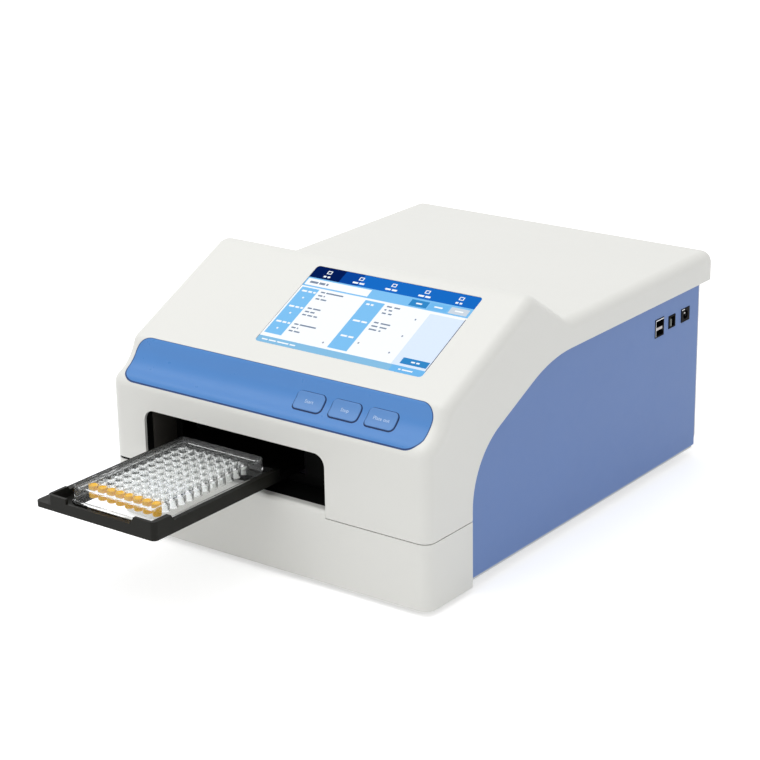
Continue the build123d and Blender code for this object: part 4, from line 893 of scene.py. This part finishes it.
points, faces = [], []
for row in range(ROWS):
    for column in range(COLUMNS):
        cx, cy = first_x + row * PITCH, first_y + column * PITCH
        x0 = plate_middle.x - inside_x if row == 0 else cx - PITCH / 2
        x1 = plate_middle.x + inside_x if row == ROWS - 1 else cx + PITCH / 2
        y0 = plate_middle.y - inside_y if column == 0 else cy - PITCH / 2
        y1 = plate_middle.y + inside_y if column == COLUMNS - 1 else cy + PITCH / 2
        outside = hidden_foot if column == 0 else foot_profile
        for profile, level, flip in ((well_profile, deck_z, False), (outside, under_z, True)):
            start = len(points)
            for turn in turns:
                points.append((*tile_edge(turn, x0, x1, y0, y1, cx, cy), level))
            for radius, z in profile:
                for turn in turns:
                    points.append((cx + radius * MM * cos(turn), cy + radius * MM * sin(turn), z))
            for ring in range(len(profile)):
                for step in range(WELL_STEPS):
                    a = start + ring * WELL_STEPS + step
                    b = start + ring * WELL_STEPS + (step + 1) % WELL_STEPS
                    quad = (a, b, b + WELL_STEPS, a + WELL_STEPS)
                    faces.append(tuple(reversed(quad)) if flip else quad)
            last = start + len(profile) * WELL_STEPS
            cap = tuple(range(last, last + WELL_STEPS))
            faces.append(tuple(reversed(cap)) if flip else cap)
print("wells:", ROWS * COLUMNS)


# %% The skirt and the rim round the deck
def plate_loop(inset, radius, z):
    """A rounded rectangle inside the plate's outline, at one height."""
    loop = rounded_loop(2 * half_x / MM - 2 * inset, 2 * half_y / MM - 2 * inset, radius)
    return [(plate_middle.x + x * MM, plate_middle.y + y * MM, z) for x, y in loop]


def welded(built):
    """Join the points of a piece that coincide, and turn all its faces outwards."""
    shape = bmesh.new()
    shape.from_mesh(built.data)
    bmesh.ops.remove_doubles(shape, verts=shape.verts, dist=0.001 * MM)
    bmesh.ops.recalc_face_normals(shape, faces=shape.faces)
    shape.to_mesh(built.data)
    shape.free()


flange_top = plate_low.z + 2.6 * MM
wall_levels = [
    (1.2, 3.0, plate_low.z), (0.0, 3.2, plate_low.z), (0.0, 3.2, flange_top - 0.3 * MM),
    (0.3, 3.0, flange_top), (1.15, 2.8, flange_top), (1.40, 2.6, flange_top + 0.4 * MM),
    (1.55, 2.6, rim_z - 0.2 * MM), (1.75, 2.4, rim_z), (2.35, 2.0, rim_z),
    (2.55, 1.8, rim_z - 0.2 * MM), (2.60, 1.8, under_z), (2.45, 1.8, flange_top - 0.2 * MM),
    (1.2, 2.6, flange_top - 0.6 * MM),
]
start = len(points)
for inset, radius, z in wall_levels:
    points += plate_loop(inset, radius, z)
ring_size = (len(points) - start) // len(wall_levels)
for level in range(len(wall_levels)):
    following = (level + 1) % len(wall_levels)
    for step in range(ring_size):
        a = start + level * ring_size + step
        b = start + level * ring_size + (step + 1) % ring_size
        c = start + following * ring_size + (step + 1) % ring_size
        d = start + following * ring_size + step
        faces.append((a, b, c, d))
plate = piece("well_plate", points, faces, [clear], "plate")
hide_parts("microplate")
welded(plate)
edge_split = plate.modifiers.new("sharp edges", "EDGE_SPLIT")
edge_split.split_angle = SHARP
print("plate faces:", len(plate.data.polygons))

# %% [markdown]
# ## Liquid in the first row
#
# The first row of wells holds an amber liquid. Its surface is hollow where it climbs the wall of
# the well, so each drop is turned from a profile that dips in the middle.

# %% Eight fillings
liquid_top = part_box("well_liquid")[1].z
points, faces = [], []
fill_profile = [(0.0, well_foot_z - 0.2 * MM), (3.3, well_foot_z - 0.2 * MM),
                (3.75, well_foot_z + 0.4 * MM), (3.95, under_z - 0.1 * MM),
                (3.62, under_z), (3.62, liquid_top + 0.4 * MM),
                (3.1, liquid_top), (1.8, liquid_top - 0.45 * MM),
                (0.0, liquid_top - 0.55 * MM)]
for row in range(ROWS):
    cx, cy = first_x + row * PITCH, first_y
    start = len(points)
    for radius, z in fill_profile:
        for turn in turns:
            points.append((cx + radius * MM * cos(turn), cy + radius * MM * sin(turn), z))
    for ring in range(len(fill_profile) - 1):
        for step in range(WELL_STEPS):
            a = start + ring * WELL_STEPS + step
            b = start + ring * WELL_STEPS + (step + 1) % WELL_STEPS
            faces.append((b, a, a + WELL_STEPS, b + WELL_STEPS))
liquid = piece("row_liquid", points, faces, [amber], "plate")
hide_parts("well_liquid")
welded(liquid)
print("fillings:", ROWS)

# %% [markdown]
# ## Floor
#
# The floor is a wide white sheet under the feet. It glows just enough for the camera to see it as
# white, and it keeps the reader's soft shadow.

# %% The white floor
FLOOR_GLOW, FLOOR_REACH = 0.45, 40
BELOW_FEET = 0.2 * MM
floor_paint = bpy.data.materials.new("floor_white")
floor_paint.use_nodes = True
tree = floor_paint.node_tree
shader = tree.nodes["Principled BSDF"]
shader.inputs["Base Color"].default_value = (0.9, 0.9, 0.9, 1)
shader.inputs["Roughness"].default_value = 0.9
shader.inputs["Emission Color"].default_value = (1, 1, 1, 1)
floor_glow = tree.nodes.new("ShaderNodeMath")
floor_glow.operation = "MULTIPLY"
floor_glow.inputs[1].default_value = FLOOR_GLOW
tree.links.new(seen_rays(tree), floor_glow.inputs[0])
tree.links.new(floor_glow.outputs[0], shader.inputs["Emission Strength"])
floor_mesh = bpy.data.meshes.new("floor")
corners = [(-1, -1), (1, -1), (1, 1), (-1, 1)]
floor_mesh.from_pydata([(x * FLOOR_REACH, y * FLOOR_REACH, 0) for x, y in corners], [],
                       [(0, 1, 2, 3)])
floor_mesh.materials.append(floor_paint)
floor = bpy.data.objects.new("floor", floor_mesh)
scene.collection.objects.link(floor)
floor.location.z = -BELOW_FEET
print("floor:", 2 * FLOOR_REACH, "m wide")
